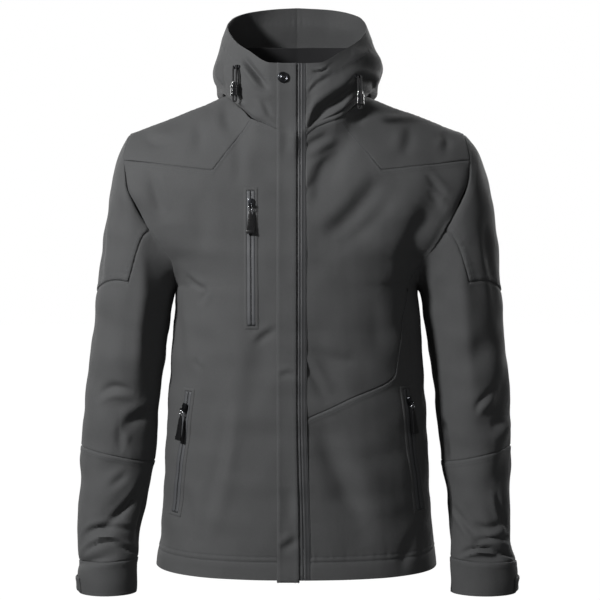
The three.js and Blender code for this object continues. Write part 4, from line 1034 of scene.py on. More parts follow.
# %% Creases of the sleeves, by turn and ring
SLEEVE_CREASES = {
    "right": table(
        CREASE,
        [65, 5.73, 100, 5.74, 128, 5.98, 5, 2.6, 1.6], [83, 6.45, 55, 6.23, 18, 6.04, 7, 2.8, 1.7],
        [96, 7.68, 80, 7.51, 65, 7.33, 6, 1.8, 1.0], [96, 8.74, 56, 8.1, 34, 7.5, 7, 3.0, 1.8],
        [145, 9.7, 95, 9.16, 57, 9.36, 5, 3.4, 2.1], [69, 9.3, 43, 9.51, 10, 9.8, 5, 2.2, 1.2],
        [142, 9.14, 98, 8.71, 21, 8.91, 5, 2.4, 1.4], [83, 6.45, 83, 6.66, 76, 6.88, 8, 1.6, 0.9],
        [76, 1.6, 72, 3.8, 66, 5.6, 13, -2.3, 0.0], [40, 1.6, 44, 3.4, 42, 5.2, 16, 1.4, 0.0],
        [168, 2.0, 160, 3.0, 150, 4.2, 10, 1.4, 0.8],
        [300, 5.4, 264, 5.8, 228, 6.5, 8, 2.4, 1.3], [318, 8.9, 276, 8.2, 240, 7.6, 8, 2.3, 1.3],
        [300, 9.55, 250, 9.3, 206, 9.6, 5, 2.8, 1.6], [250, 3.2, 262, 4.4, 262, 5.2, 9, 1.8, 1.0],
        [210, 6.3, 190, 7.6, 196, 8.6, 10, 1.6, 0.8], [24, 7.6, 12, 8.5, 20, 9.4, 8, 1.9, 1.0],
        [340, 3.6, 356, 4.6, 352, 5.8, 9, 2.0, 1.1],
    ),
    "left": table(
        CREASE,
        [85, 6.14, 101, 5.95, 127, 5.83, 5, 2.2, 1.4], [110, 6.49, 136, 6.44, 172, 6.3, 7, 2.4, 1.4],
        [120, 7.79, 126, 8.28, 150, 8.84, 6, 2.0, 1.2], [72, 8.6, 100, 8.75, 139, 8.53, 7, 3.2, 1.7],
        [19, 8.09, 50, 8.55, 84, 9.15, 6, 2.2, 1.4], [41, 9.78, 82, 9.4, 126, 9.6, 5, 3.4, 2.1],
        [116, 9.6, 142, 9.7, 160, 9.9, 5, 2.4, 1.4], [67, 9.3, 111, 9.04, 172, 9.31, 5, 2.2, 1.3],
        [90, 2.0, 87, 4.2, 84, 6.4, 13, -1.9, 0.0], [50, 1.8, 54, 3.4, 52, 5.6, 16, 1.4, 0.0],
        [128, 2.4, 132, 3.4, 142, 4.4, 10, 1.4, 0.8],
        [310, 5.2, 270, 5.7, 236, 6.3, 8, 2.4, 1.3], [300, 8.7, 262, 8.1, 226, 7.7, 8, 2.3, 1.3],
        [302, 9.7, 256, 9.3, 214, 9.5, 5, 2.8, 1.6], [252, 3.0, 258, 4.2, 250, 5.2, 9, 1.8, 1.0],
        [206, 6.4, 196, 7.4, 204, 8.6, 10, 1.6, 0.8], [22, 7.4, 12, 8.4, 18, 9.3, 8, 1.9, 1.0],
        [342, 3.6, 356, 4.8, 350, 5.9, 9, 2.0, 1.1],
    ),
}

# %% Sleeve panels
SLEEVE_SCALE = (TURN_MM, RING_MM)


def cap_low(turn):
    away = np.clip(np.abs(turn - 180) / (180 - CAP["cornerTurn"]), 0, 1)
    return lerp(CAP["outer"], CAP["corner"], away ** 1.5)


def facing(side, u):
    return u if side == "left" else 1 - u


def cap_places(side):
    def places(u, v):
        s = facing(side, u)
        low = lerp(CAP["cornerTurn"], 360 - CAP["cornerTurn"], s)
        return lerp(lerp(CAP_FIRST, CAP_LAST, s), low, 1 - v), cap_low(low) * (1 - v)
    return places


def upper_line():
    """The upper sleeve's upper edge: under the arm, down beside the cap panel, round below it and up again."""
    side = np.linspace(0, 1, 42)
    under = np.linspace(CAP_LAST - 360, CAP_FIRST, 54)
    low = np.linspace(CAP["cornerTurn"], 360 - CAP["cornerTurn"], 58)
    corner, last = CAP["corner"], 360 - CAP["cornerTurn"]
    parts = [
        np.stack([under, 0 * under], axis=1),
        np.stack([lerp(CAP_FIRST, CAP["cornerTurn"], side), corner * side], axis=1)[1:],
        np.stack([low, cap_low(low)], axis=1)[1:],
        np.stack([lerp(last, CAP_LAST, side), corner * (1 - side)], axis=1)[1:],
    ]
    return np.concatenate(parts)


UPPER_LINE = upper_line()


def upper_places(side):
    index = np.linspace(0, 1, len(UPPER_LINE))
    even = 0.5 * index + 0.5 * (UPPER_LINE[:, 0] - UPPER_LINE[0, 0]) / 360

    def places(u, v):
        s = facing(side, u)
        turn, t = np.interp(s, index, UPPER_LINE[:, 0]), np.interp(s, index, UPPER_LINE[:, 1])
        below = UPPER_LINE[0, 0] + 360 * np.interp(s, index, even)
        return lerp(below, turn, v), lerp(float(ELBOW_RING), t, v)
    return places


def tube_places(side, low, high):
    return lambda u, v: (360 * facing(side, u), lerp(float(low), float(high), v))


def line_distance(a, b):
    line = UPPER_LINE * SLEEVE_SCALE
    best = np.full(a.shape, 1e9)
    for shift in (0, 360):
        x, y = (a % 360 - shift) * TURN_MM, b * RING_MM
        for p, q in zip(line[:-1], line[1:]):
            way = q - p
            along = np.clip(((x - p[0]) * way[0] + (y - p[1]) * way[1]) / (way @ way), 0, 1)
            best = np.minimum(best, np.hypot(x - p[0] - along * way[0], y - p[1] - along * way[1]))
    return best


def sleeve_piece(name, side, places, sewn, stitched, rests_on, thick=CLOTH, **more):
    surface = lambda u, v: sleeve(side, *places(u, v))
    coords = lambda u, v: (places(u, v)[0] % 360, places(u, v)[1])
    made = panel(surface, coords, sewn, stitched, SLEEVE_CREASES[side], SLEEVE_SCALE, **more)
    made["places"] = places
    return cloth_piece(f"{name}_{side}", made, thick)


for side in ("right", "left"):
    seed = 10 if side == "right" else 20
    sleeve_piece("sleeve_cap", side, cap_places(side), "lrbt", "lrb", f"yoke_{side}, back", seed=seed, deep="t")
    columns = np.linspace(0, 1, len(UPPER_LINE))
    sleeve_piece("sleeve_upper", side, upper_places(side), "bt", "", f"sleeve_cap_{side}", columns=columns,
                 closed=True, seams=line_distance, seed=seed + 1, extra=under_arm, deep="t")
    sleeve_piece("sleeve_lower", side, tube_places(side, CUFF_RING, ELBOW_RING), "bt", "t", f"sleeve_upper_{side}",
                 closed=True, seed=seed + 2)
    sleeve_piece("cuff", side, tube_places(side, LAST_RING, CUFF_RING), "t", "t", f"sleeve_lower_{side}", 2.2,
                 closed=True, seed=seed + 3)

# %% [markdown]
# ## Hood and collar
# Two mirrored halves with a seam down the middle. Lying down, the hood rolls over its neck seam at the back,
# and its wide rim stands open. The rim is turned in and stitched about 22 mm from the edge, as a tunnel for the
# drawcord. Behind the neck stands a black knitted collar. What is printed inside the neck is left out.

# %% Hood panels
HOOD_SCALE = (2.6, 190)
HOOD_CREASES = {
    "right": table(
        CREASE,
        [48, 0.90, 35, 0.80, 25, 0.60, 7.5, 6.0, 2.4], [29, 0.50, 26, 0.39, 23, 0.27, 6, 1.4, 0.8],
        [70, 0.79, 69, 0.67, 67, 0.47, 7, 2.0, 1.0], [62, 0.30, 54, 0.38, 44, 0.44, 6, 1.4, 0.8],
        [84, 0.36, 98, 0.50, 96, 0.78, 9, 2.2, 1.2], [108, 0.30, 122, 0.42, 138, 0.44, 9, 2.4, 1.3],
        [126, 0.60, 140, 0.70, 160, 0.72, 9, 2.2, 1.2], [150, 0.28, 166, 0.36, 178, 0.34, 9, 2.2, 1.2],
    ),
    "left": table(
        CREASE,
        [4, 0.12, 30, 0.40, 54, 0.62, 15, 5.6, 2.2], [46, 0.64, 62, 0.60, 90, 0.34, 9, 3.4, 1.2],
        [12, 0.92, 22, 0.86, 30, 0.92, 4, 1.6, 0.9], [50, 0.96, 72, 0.80, 104, 0.64, 13, -2.8, 0.0], [4, 0.59, 20, 0.69, 31, 0.80, 7, 1.2, 0.7],
        [16, 0.12, 50, 0.26, 84, 0.30, 15, 3.8, 0.3], [86, 0.34, 98, 0.52, 94, 0.80, 9, 2.4, 1.3],
        [106, 0.32, 124, 0.44, 140, 0.42, 9, 2.4, 1.3], [124, 0.62, 142, 0.72, 164, 0.70, 9, 2.2, 1.2],
    ),
}
RIM_LINE = 22.0


def rim_band(a, b, away):
    d = away["t"]
    out = 0.45 * (1 - smooth(RIM_LINE + 0.5, RIM_LINE + 3, d)) - 0.35 * np.exp(-(((d - RIM_LINE) / 1.0) ** 2))
    wave = np.sin(a * HOOD_SCALE[0] * 2 * np.pi / 12 + 1.6 * np.sin(a / 9))
    return out + 0.3 * wave * np.exp(-np.abs(d - RIM_LINE) / 6)


for name, sign in (("hood_right", -1), ("hood_left", 1)):
    places = lambda u, v, sign=sign: (180 * (u if sign > 0 else 1 - u), v)
    surface = lambda u, v, sign=sign: hood(sign, 180 * (u if sign > 0 else 1 - u), v)
    made = panel(surface, places, "lrb", "", HOOD_CREASES[name[5:]], HOOD_SCALE, seed=30 + sign, extra=rim_band,
                 quiet=("b", plain_front))
    cloth_piece(name, made)

collar_coords = lambda u, v: (u * 300, v * 100)
collar = panel(stand_collar, collar_coords, "b", "", seed=40)
cloth_piece("stand_collar", collar, 2.0, "inner_cloth")

# %% [markdown]
# ## Storm flap, zip tape and cuff tabs
# These lie on the panels. The flap is two layers of cloth folded at the free edge and sewn on beside the zip, so it
# stands about three millimetres proud and casts a thin shadow. It follows the same run up the front as the zip.

# %% The run up the front edge
COLLAR_SHARE = 0.14  # of the run's own parameter


def hood_at(x, v):
    """The hood's front at a place across the chest, on the wearer's right of the zip."""
    turns = np.linspace(0, 30, 41)
    rows = np.linspace(0, 1, 61)
    grid = hood(-1, turns[None, :], rows[:, None])
    turn = np.stack([np.interp(-x, -row[:, 0], turns) for row in grid])
    found = np.array([np.interp(w, rows, column) for w, column in zip(v, turn.T)])
    return hood(-1, found, v)


def front_run(x0, x1, below=0.0):
    def surface(u, v):
        shape = np.shape(u)
        x, w = lerp(x0, x1, u).ravel(), np.broadcast_to(v, shape).ravel()
        held = np.minimum(x, -RIGHT_EDGE)
        low = w < 1 - COLLAR_SHARE
        h = lerp(HEM_FRONT - below, read(NECK_FRONT, "x", "h", -held), np.clip(w / (1 - COLLAR_SHARE), 0, 1))
        out = body("front", across_of("front", held, h), h)
        out[~low] = hood_at(held[~low], (w[~low] - 1 + COLLAR_SHARE) / COLLAR_SHARE)
        out[:, 0] = x
        return out.reshape(*shape, 3)
    return surface


def raised(surface, lift):
    """The same surface, moved out of the cloth."""
    def moved(u, v):
        e = 1e-3
        a = surface(np.clip(u + e, 0, 1), v) - surface(np.clip(u - e, 0, 1), v)
        b = surface(u, np.clip(v + e, 0, 1)) - surface(u, np.clip(v - e, 0, 1))
        normal = np.cross(a, b)
        return surface(u, v) + lift * normal / np.linalg.norm(normal, axis=-1, keepdims=True)
    return moved


def by_place(surface):
    return lambda u, v: (surface(u, v)[..., 0], surface(u, v)[..., 2])


flap_base = front_run(FLAP["from"], FLAP["to"], FLAP["below"])


flap_surface = raised(flap_base, FLAP["room"] + FLAP["thick"])
FLAP_CREASES = table(
    CREASE, [-24, 40, -10, 46, 2, 56, 6, 1.7, 1.1], [-26, 287, -12, 292, 2, 290, 4, 1.1, 0.7],
    [-15, 654, -12, 632, -15, 604, 8, 1.2, 0.4], [-14, 130, -10, 104, -13, 74, 9, 1.3, 0.5],
)
flap = panel(flap_surface, by_place(flap_base), "lrbt", "lr", FLAP_CREASES, seed=50)
cloth_piece("storm_flap", flap, FLAP["thick"])

ZIP_MIDDLE = 11.6
halves = []
for x0, x1 in ((ZIP["from"] - 2.0, ZIP_MIDDLE - 0.02), (ZIP_MIDDLE + 0.02, ZIP["to"] + 1.6)):
    base = front_run(x0, x1)
    bow = lambda a, b, away: 0.9 * np.exp(-(((np.abs(a - ZIP_MIDDLE) - 2.2) / 1.6) ** 2))
    halves.append(panel(raised(base, 0.6), by_place(base), "lr", "", seed=52, extra=bow))
tape = cloth_piece("front_zip", halves[0], 0.5, "zip_tape",
                   more=halves[1:])


def tab_places(side):
    def places(u, v):
        s = facing(side, u)
        return lerp(150.0, 262.0, s), lerp(11.9, 11.05, v)
    return places


for side in ("right", "left"):
    tab_surface = lambda u, v, side=side: sleeve(side, *tab_places(side)(u, v))
    made = panel(raised(tab_surface, 2.5), tab_places(side), "lrbt", "lrbt", SLEEVE_CREASES[side], SLEEVE_SCALE, seed=60)
    cloth_piece(f"cuff_tab_{side}", made, 1.8)

# %% [markdown]
# ## Stitches
# Every topstitch is a short thread lying in its groove. The stitches of one seam are the same shape again and
# again, so one is made and Geometry Nodes sets it along the seam's line at an even pitch.

# %% A stitch, and lines along a panel's edge
def line_at(name, edge, distance, first=0.0, last=1.0):
    """A line of points on a finished panel at a distance from one of its edges, from one share of it to another."""
    made = PANELS[name]
    points, away = made["points"], made["away"][edge]
    if edge in "lr":
        points, away = points.transpose(1, 0, 2), away.T
    if edge in "rt":
        points, away = points[::-1], away[::-1]
    columns = range(int(first * points.shape[1]), int(np.ceil(last * points.shape[1])))
    line = []
    for j in columns:
        line.append([np.interp(distance, away[:, j], points[:, j, k]) for k in range(3)])
    if made["closed"] and edge in "bt":
        line.append(line[0])
    return np.array(line)


def lines_object(name, lines):
    """Loose edges through the lines."""
    verts, edges = [], []
    for line in lines:
        start = len(verts)
        verts.extend(map(tuple, to_world(line)))
        edges.extend((start + k, start + k + 1) for k in range(len(line) - 1))
    mesh = bpy.data.meshes.new(name)
    mesh.from_pydata(verts, edges, [])
    obj = bpy.data.objects.new(name, mesh)
    bpy.context.scene.collection.objects.link(obj)
    return obj


def along_lines(obj, pitch, size, material, sides=5, rings=4):
    """Sets a unit along every line of an object at an even pitch."""
    tree = bpy.data.node_groups.new(obj.name + "_along", "GeometryNodeTree")
    tree.interface.new_socket("Geometry", in_out="INPUT", socket_type="NodeSocketGeometry")
    tree.interface.new_socket("Geometry", in_out="OUTPUT", socket_type="NodeSocketGeometry")
    sockets = {}
    for label, kind in (("Pitch", "NodeSocketFloat"), ("Size", "NodeSocketVector"), ("Unevenness", "NodeSocketFloat"),
                        ("Seed", "NodeSocketInt")):
        sockets[label] = tree.interface.new_socket(label, in_out="INPUT", socket_type=kind).identifier
    nodes, links = tree.nodes, tree.links
    start, end = nodes.new("NodeGroupInput"), nodes.new("NodeGroupOutput")
    curve = nodes.new("GeometryNodeMeshToCurve")
    even = nodes.new("GeometryNodeResampleCurve")
    even.mode = "LENGTH"
    tangent = nodes.new("GeometryNodeInputTangent")
    keep = nodes.new("GeometryNodeStoreNamedAttribute")
    keep.data_type = "FLOAT_VECTOR"
    keep.inputs["Name"].default_value = "way"
    dots = nodes.new("GeometryNodeCurveToPoints")
    dots.mode = "EVALUATED"
    way = nodes.new("GeometryNodeInputNamedAttribute")
    way.data_type = "FLOAT_VECTOR"
    way.inputs["Name"].default_value = "way"
    align = nodes.new("FunctionNodeAlignRotationToVector")
    align.axis = "Z"
    shape = nodes.new("GeometryNodeMeshUVSphere")
    shape.inputs["Segments"].default_value = sides
    shape.inputs["Rings"].default_value = rings
    shape.inputs["Radius"].default_value = 1.0
    chance = nodes.new("FunctionNodeRandomValue")
    chance.data_type = "FLOAT_VECTOR"
    low, high = nodes.new("ShaderNodeMath"), nodes.new("ShaderNodeMath")
    low.operation, high.operation = "SUBTRACT", "ADD"
    low.inputs[0].default_value = high.inputs[0].default_value = 1.0
    scale = nodes.new("ShaderNodeVectorMath")
    scale.operation = "MULTIPLY"
    place = nodes.new("GeometryNodeInstanceOnPoints")
    real = nodes.new("GeometryNodeRealizeInstances")
    paint = nodes.new("GeometryNodeSetMaterial")
    paint.inputs["Material"].default_value = MATERIALS[material]
    links.new(start.outputs["Geometry"], curve.inputs["Mesh"])
    links.new(curve.outputs["Curve"], even.inputs["Curve"])
    links.new(start.outputs["Pitch"], even.inputs["Length"])
    links.new(even.outputs["Curve"], keep.inputs["Geometry"])
    links.new(tangent.outputs["Tangent"], keep.inputs["Value"])
    links.new(keep.outputs["Geometry"], dots.inputs["Curve"])
    links.new(dots.outputs["Points"], place.inputs["Points"])
    links.new(way.outputs["Attribute"], align.inputs["Vector"])
    links.new(align.outputs["Rotation"], place.inputs["Rotation"])
    links.new(shape.outputs["Mesh"], place.inputs["Instance"])
    links.new(start.outputs["Unevenness"], low.inputs[1])
    links.new(start.outputs["Unevenness"], high.inputs[1])
    links.new(low.outputs["Value"], chance.inputs["Min"])
    links.new(high.outputs["Value"], chance.inputs["Max"])
    links.new(start.outputs["Seed"], chance.inputs["Seed"])
    links.new(chance.outputs["Value"], scale.inputs[0])
    links.new(start.outputs["Size"], scale.inputs[1])
    links.new(scale.outputs["Vector"], place.inputs["Scale"])
    links.new(place.outputs["Instances"], real.inputs["Geometry"])
    links.new(real.outputs["Geometry"], paint.inputs["Geometry"])
    links.new(paint.outputs["Geometry"], end.inputs["Geometry"])
    modifier = obj.modifiers.new("along", "NODES")
    modifier.node_group = tree
    modifier[sockets["Pitch"]] = pitch * MM
    modifier[sockets["Size"]] = [s * MM for s in size]
    modifier[sockets["Unevenness"]] = 0.06
    modifier[sockets["Seed"]] = 3
    baked(obj)
    obj.data.materials.clear()
    obj.data.materials.append(MATERIALS[material])
    obj.data.polygons.foreach_set("use_smooth", np.ones(len(obj.data.polygons), bool))
    return obj


STITCH_PITCH, STITCH_SIZE = 3.3, (0.34, 0.34, 1.35)


def sew(name, lines, slot="softshell"):
    obj = lines_object(name, lines)
    along_lines(obj, STITCH_PITCH, STITCH_SIZE, "thread")
    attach(obj, "garment")
    print(f"{name}: {sum(len(l) for l in lines)} points on {len(lines)} lines, {len(obj.data.polygons)} faces")
    return obj


def double(name, edge, first=0.0, last=1.0, rows=(1.5, 6.5)):
    return [line_at(name, edge, d, first, last) for d in rows]


hem_rows = lambda name: [line_at(name, "b", d) for d in HEM_LINES]
sew("front_stitches", [
    *double("front_right", "t", 0.0, 0.80), *double("front_left_upper", "t", 0.2, 1.0),
    *double("front_left_lower", "t"), *hem_rows("front_right"), *hem_rows("front_left_lower"),
])
sew("back_stitches", [*double("back", "t", 0.24, 0.76), *hem_rows("back")])
sew("flap_stitches", [
    line_at("storm_flap", "l", 1.6), line_at("storm_flap", "r", 1.6), line_at("storm_flap", "r", 6.5),
    line_at("storm_flap", "t", 2.0), line_at("storm_flap", "b", 290.0, 0.3, 1.0),
])
for side in ("right", "left"):
    sew(f"sleeve_{side}_stitches", [
        *double(f"sleeve_cap_{side}", "l"), *double(f"sleeve_cap_{side}", "r"), *double(f"sleeve_cap_{side}", "b"),
        *double(f"sleeve_lower_{side}", "t"), *double(f"cuff_{side}", "t", rows=(2.0,)),
        line_at(f"cuff_{side}", "b", 4.0), line_at(f"cuff_tab_{side}", "t", 1.8), line_at(f"cuff_tab_{side}", "b", 1.8),
        line_at(f"cuff_tab_{side}", "l", 1.8), line_at(f"cuff_tab_{side}", "r", 1.8),
    ])
    sew(f"hood_{side}_stitches", [line_at(f"hood_{side}", "t", RIM_LINE), line_at(f"hood_{side}", "b", 2.2)])

# %% [markdown]
# ## Pocket zips
# The three pocket zips are coil zips behind a satin film, set in a stitched welt of the same cloth. The film's two
# halves meet over the coil. Each has a small slider with a wire ring, from which a moulded rubber tab hangs.

# %% Places on a finished front panel
POCKETS = (
    {"node": "chest", "panel": "front_right", "top": (-66.2, 556), "low": (-65.3, 360), "wide": 13, "pull": 42},
    {"node": "hand_right", "panel": "front_right", "top": (-159, 264), "low": (-180, 84), "wide": 11, "pull": 46},
    {"node": "hand_left", "panel": "front_left_lower", "top": (160, 268), "low": (181, 88), "wide": 11, "pull": 46},
)


def skin(x, h, lift):
    at = lambda x, h: body("front", across_of("front", x, h), h)
    p = at(x, h)
    normal = np.cross(at(x + 0.5, h) - at(x - 0.5, h), at(x, h + 0.5) - at(x, h - 0.5))
    normal /= np.linalg.norm(normal, axis=-1, keepdims=True)
    relief = unevenness(p) + crease_relief(FRONT_CREASES, p[..., 0], p[..., 2]) + lift
    return p + normal * np.asarray(relief)[..., None]


def on_pocket(pocket, side, along, lift):
    """A place beside a pocket's line: side in millimetres to the viewer's right, along from its lower end."""
    top, low = np.array(pocket["top"], float), np.array(pocket["low"], float)
    way = (top - low) / np.linalg.norm(top - low)
    side, along, lift = np.broadcast_arrays(np.asarray(side, float), np.asarray(along, float), np.asarray(lift, float))
    x = low[0] + along * way[0] + side * way[1]
    h = low[1] + along * way[1] - side * way[0]
    return skin(x, h, lift)


def pocket_length(pocket):
    return float(np.hypot(pocket["top"][0] - pocket["low"][0], pocket["top"][1] - pocket["low"][1]))


def strip_mesh(name, pocket, s0, s1, lift, rows=60, bow=0.0):
    length = pocket_length(pocket)
    s = np.linspace(s0, s1, 5)
    hump = bow * (1 - np.linspace(-1, 1, 5) ** 2)
    return grid_mesh(name, on_pocket(pocket, s[None, :], np.linspace(1, length - 1, rows)[:, None], lift + hump[None, :]))


def welt_mesh(name, pocket, inner, outer, tall):
    """A low rounded frame of folded cloth round the window, with square corners."""
    length = pocket_length(pocket)
    steps = np.linspace(0, 1, 70)
    corners = [(-1, 0), (1, 0), (1, 1), (-1, 1), (-1, 0)]
    profile = [(0.0, -0.6), (0.02, 0.6), (0.1, 1.0), (0.4, 0.9), (0.7, 0.55), (0.9, 0.1), (1.0, -0.6)]
    rows = []
    for share, high in profile:
        away = lerp(inner, outer, share)
        line = []
        for (sx, sy), (ex, ey) in zip(corners[:-1], corners[1:]):
            count = 60 if sx == ex else 8
            for t in np.linspace(0, 1, count, endpoint=False):
                side = lerp(sx, ex, t) * away
                along = lerp(-away + inner if sy == 0 else length + away - inner,
                             -away + inner if ey == 0 else length + away - inner, t)
                line.append((side, along))
        line = np.array(line)
        rows.append(on_pocket(pocket, line[:, 0], line[:, 1], tall * high))
    return grid_mesh(name, np.stack(rows), closed=True)


def pocket_lines(pocket, away):
    length = pocket_length(pocket)
    extra = away - pocket["wide"] / 2
    along = np.linspace(-extra, length + extra, 60)
    side = np.linspace(-away, away, 8)
    ends = [on_pocket(pocket, side, end, 0.5) for end in (-extra, length + extra)]
    return [on_pocket(pocket, s * away, along, 0.5) for s in (-1, 1)] + ends


for pocket in POCKETS:
    name, half = pocket["node"], pocket["wide"] / 2
    zip_piece = put(name + "_zip_tape", strip_mesh(name + "_zip_tape", pocket, -half + 0.7, -0.25, 0.75, bow=0.35), "film")
    add_part(zip_piece, strip_mesh("film_right", pocket, 0.25, half - 0.7, 0.75, bow=0.35))
    thicken(zip_piece, 0.3)
    base = put(name + "_zip_base", strip_mesh(name + "_zip_base", pocket, -half - 0.6, half + 0.6, 0.45), "dark_tape")
    thicken(base, 0.3)
    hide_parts(name + "_zip")
    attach(zip_piece, "garment")
    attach(base, "garment")
    coil = lines_object(name + "_coil", [on_pocket(pocket, s, np.linspace(2, pocket_length(pocket) - 2, 60), 0.95)
                                         for s in (-0.55, 0.55)])
    along_lines(coil, 1.2, (0.38, 0.38, 0.42), "pull_rubber", 4, 3)
    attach(coil, "garment")
    cloth = bpy.data.objects[pocket["panel"] + "_cloth"]
    add_part(cloth, welt_mesh("welt", pocket, half - 0.5, half + 3.6, 0.6), 0.4)
sew("zip_stitches", [line for pocket in POCKETS for line in pocket_lines(pocket, pocket["wide"] / 2 + 2.0)])

# %% [markdown]
# ## Sliders, rings and rubber tabs
# A slider is two plates joined by a post, with lugs that hold a pin. Here a wire ring passes behind the pin, so it
# can swing up and down, and the rubber tab hangs from the ring on a short cord. The ring and the tab move together.

# %% Small hard shapes, in a slider's own frame: X across, -Y out of the cloth, Z up the zip
def prism(places, y0, y1, bevel):
    """A block with an outline in X and Z, from y0 out to y1, with rounded edges."""
    bm = bmesh.new()
    base = [bm.verts.new((x, y0, z)) for x, z in places]
    face = bm.faces.new(base)
    made = bmesh.ops.extrude_face_region(bm, geom=[face])
    for vert in (v for v in made["geom"] if isinstance(v, bmesh.types.BMVert)):
        vert.co.y = y1
    bmesh.ops.recalc_face_normals(bm, faces=bm.faces)
    if bevel:
        bmesh.ops.bevel(bm, geom=list(bm.edges), offset=bevel, segments=2, profile=0.6, affect="EDGES")
    return bm


def tube(points, radius, sides=8, closed=False):
    """A round wire through smooth points."""
    points = np.array(points, float)
    if closed:
        points = np.concatenate([points[-1:], points, points[:2]])
    else:
        points = np.concatenate([2 * points[:1] - points[1:2], points, 2 * points[-1:] - points[-2:-1]])
    fine = []
    for i in range(len(points) - 3):
        p0, p1, p2, p3 = points[i:i + 4]
        for t in np.linspace(0, 1, 6, endpoint=False):
            fine.append(0.5 * (2 * p1 + (p2 - p0) * t + (2 * p0 - 5 * p1 + 4 * p2 - p3) * t * t
                               + (3 * p1 - p0 - 3 * p2 + p3) * t ** 3))
    if not closed:
        fine.append(points[-2])
    fine = np.array(fine)
    bm = bmesh.new()
    rings, side = [], None
    for k in range(len(fine)):
        if closed:
            way = fine[(k + 1) % len(fine)] - fine[k - 1]
        else:
            way = fine[min(k + 1, len(fine) - 1)] - fine[max(k - 1, 0)]
        way = way / np.linalg.norm(way)
        if side is None:
            side = np.cross(way, (0, 1, 0) if abs(way[1]) < 0.9 else (1, 0, 0))
        side = side - way * (side @ way)
        side = side / np.linalg.norm(side)
        other = np.cross(way, side)
        angles = np.linspace(0, 2 * np.pi, sides, endpoint=False)
        rings.append([bm.verts.new(fine[k] + radius * (np.cos(a) * side + np.sin(a) * other)) for a in angles])
    count = len(rings) if closed else len(rings) - 1
    for k in range(count):
        a, b = rings[k], rings[(k + 1) % len(rings)]
        for n in range(sides):
            bm.faces.new((a[n], a[(n + 1) % sides], b[(n + 1) % sides], b[n]))
    if not closed:
        bm.faces.new(rings[0])
        bm.faces.new(rings[-1])
    bmesh.ops.recalc_face_normals(bm, faces=bm.faces)
    return bm


def part(name, blocks, matrix, material):
    """One mesh from several bmesh blocks, placed by a matrix in millimetres."""
    whole = bmesh.new()
    for block in blocks:
        piece = bpy.data.meshes.new("block")
        block.to_mesh(piece)
        block.free()
        whole.from_mesh(piece)
        bpy.data.meshes.remove(piece)
    mesh = bpy.data.meshes.new(name)
    whole.to_mesh(mesh)
    whole.free()
    mesh.transform(Matrix.Scale(MM, 4) @ matrix)
    mesh.polygons.foreach_set("use_smooth", np.ones(len(mesh.polygons), bool))
    obj = put(name, mesh, material)
    edges = obj.modifiers.new("edges", "EDGE_SPLIT")
    edges.split_angle = math.radians(50)
    return baked(obj)


def frame_matrix(across, out, up, place):
    """A frame in the jacket's own millimetres: X across, -Y out of the cloth, Z up."""
    matrix = Matrix((across, -Vector(out), up)).transposed().to_4x4()
    matrix.translation = place
    return matrix


SLIDER = {"sunk": 5.6, "pin_out": 2.9, "pin_up": 2.0}
SLIDER_OUTLINE = [(-3.2, 11), (3.2, 11), (4.3, 8.5), (4.1, 4), (2.6, -2), (-2.6, -2), (-4.1, 4), (-4.3, 8.5)]
TAB_OUTLINE = [(-2.2, -11), (2.2, -11), (2.9, -14), (5.4, -37), (5.5, -41), (-5.5, -41), (-5.4, -37), (-2.9, -14)]

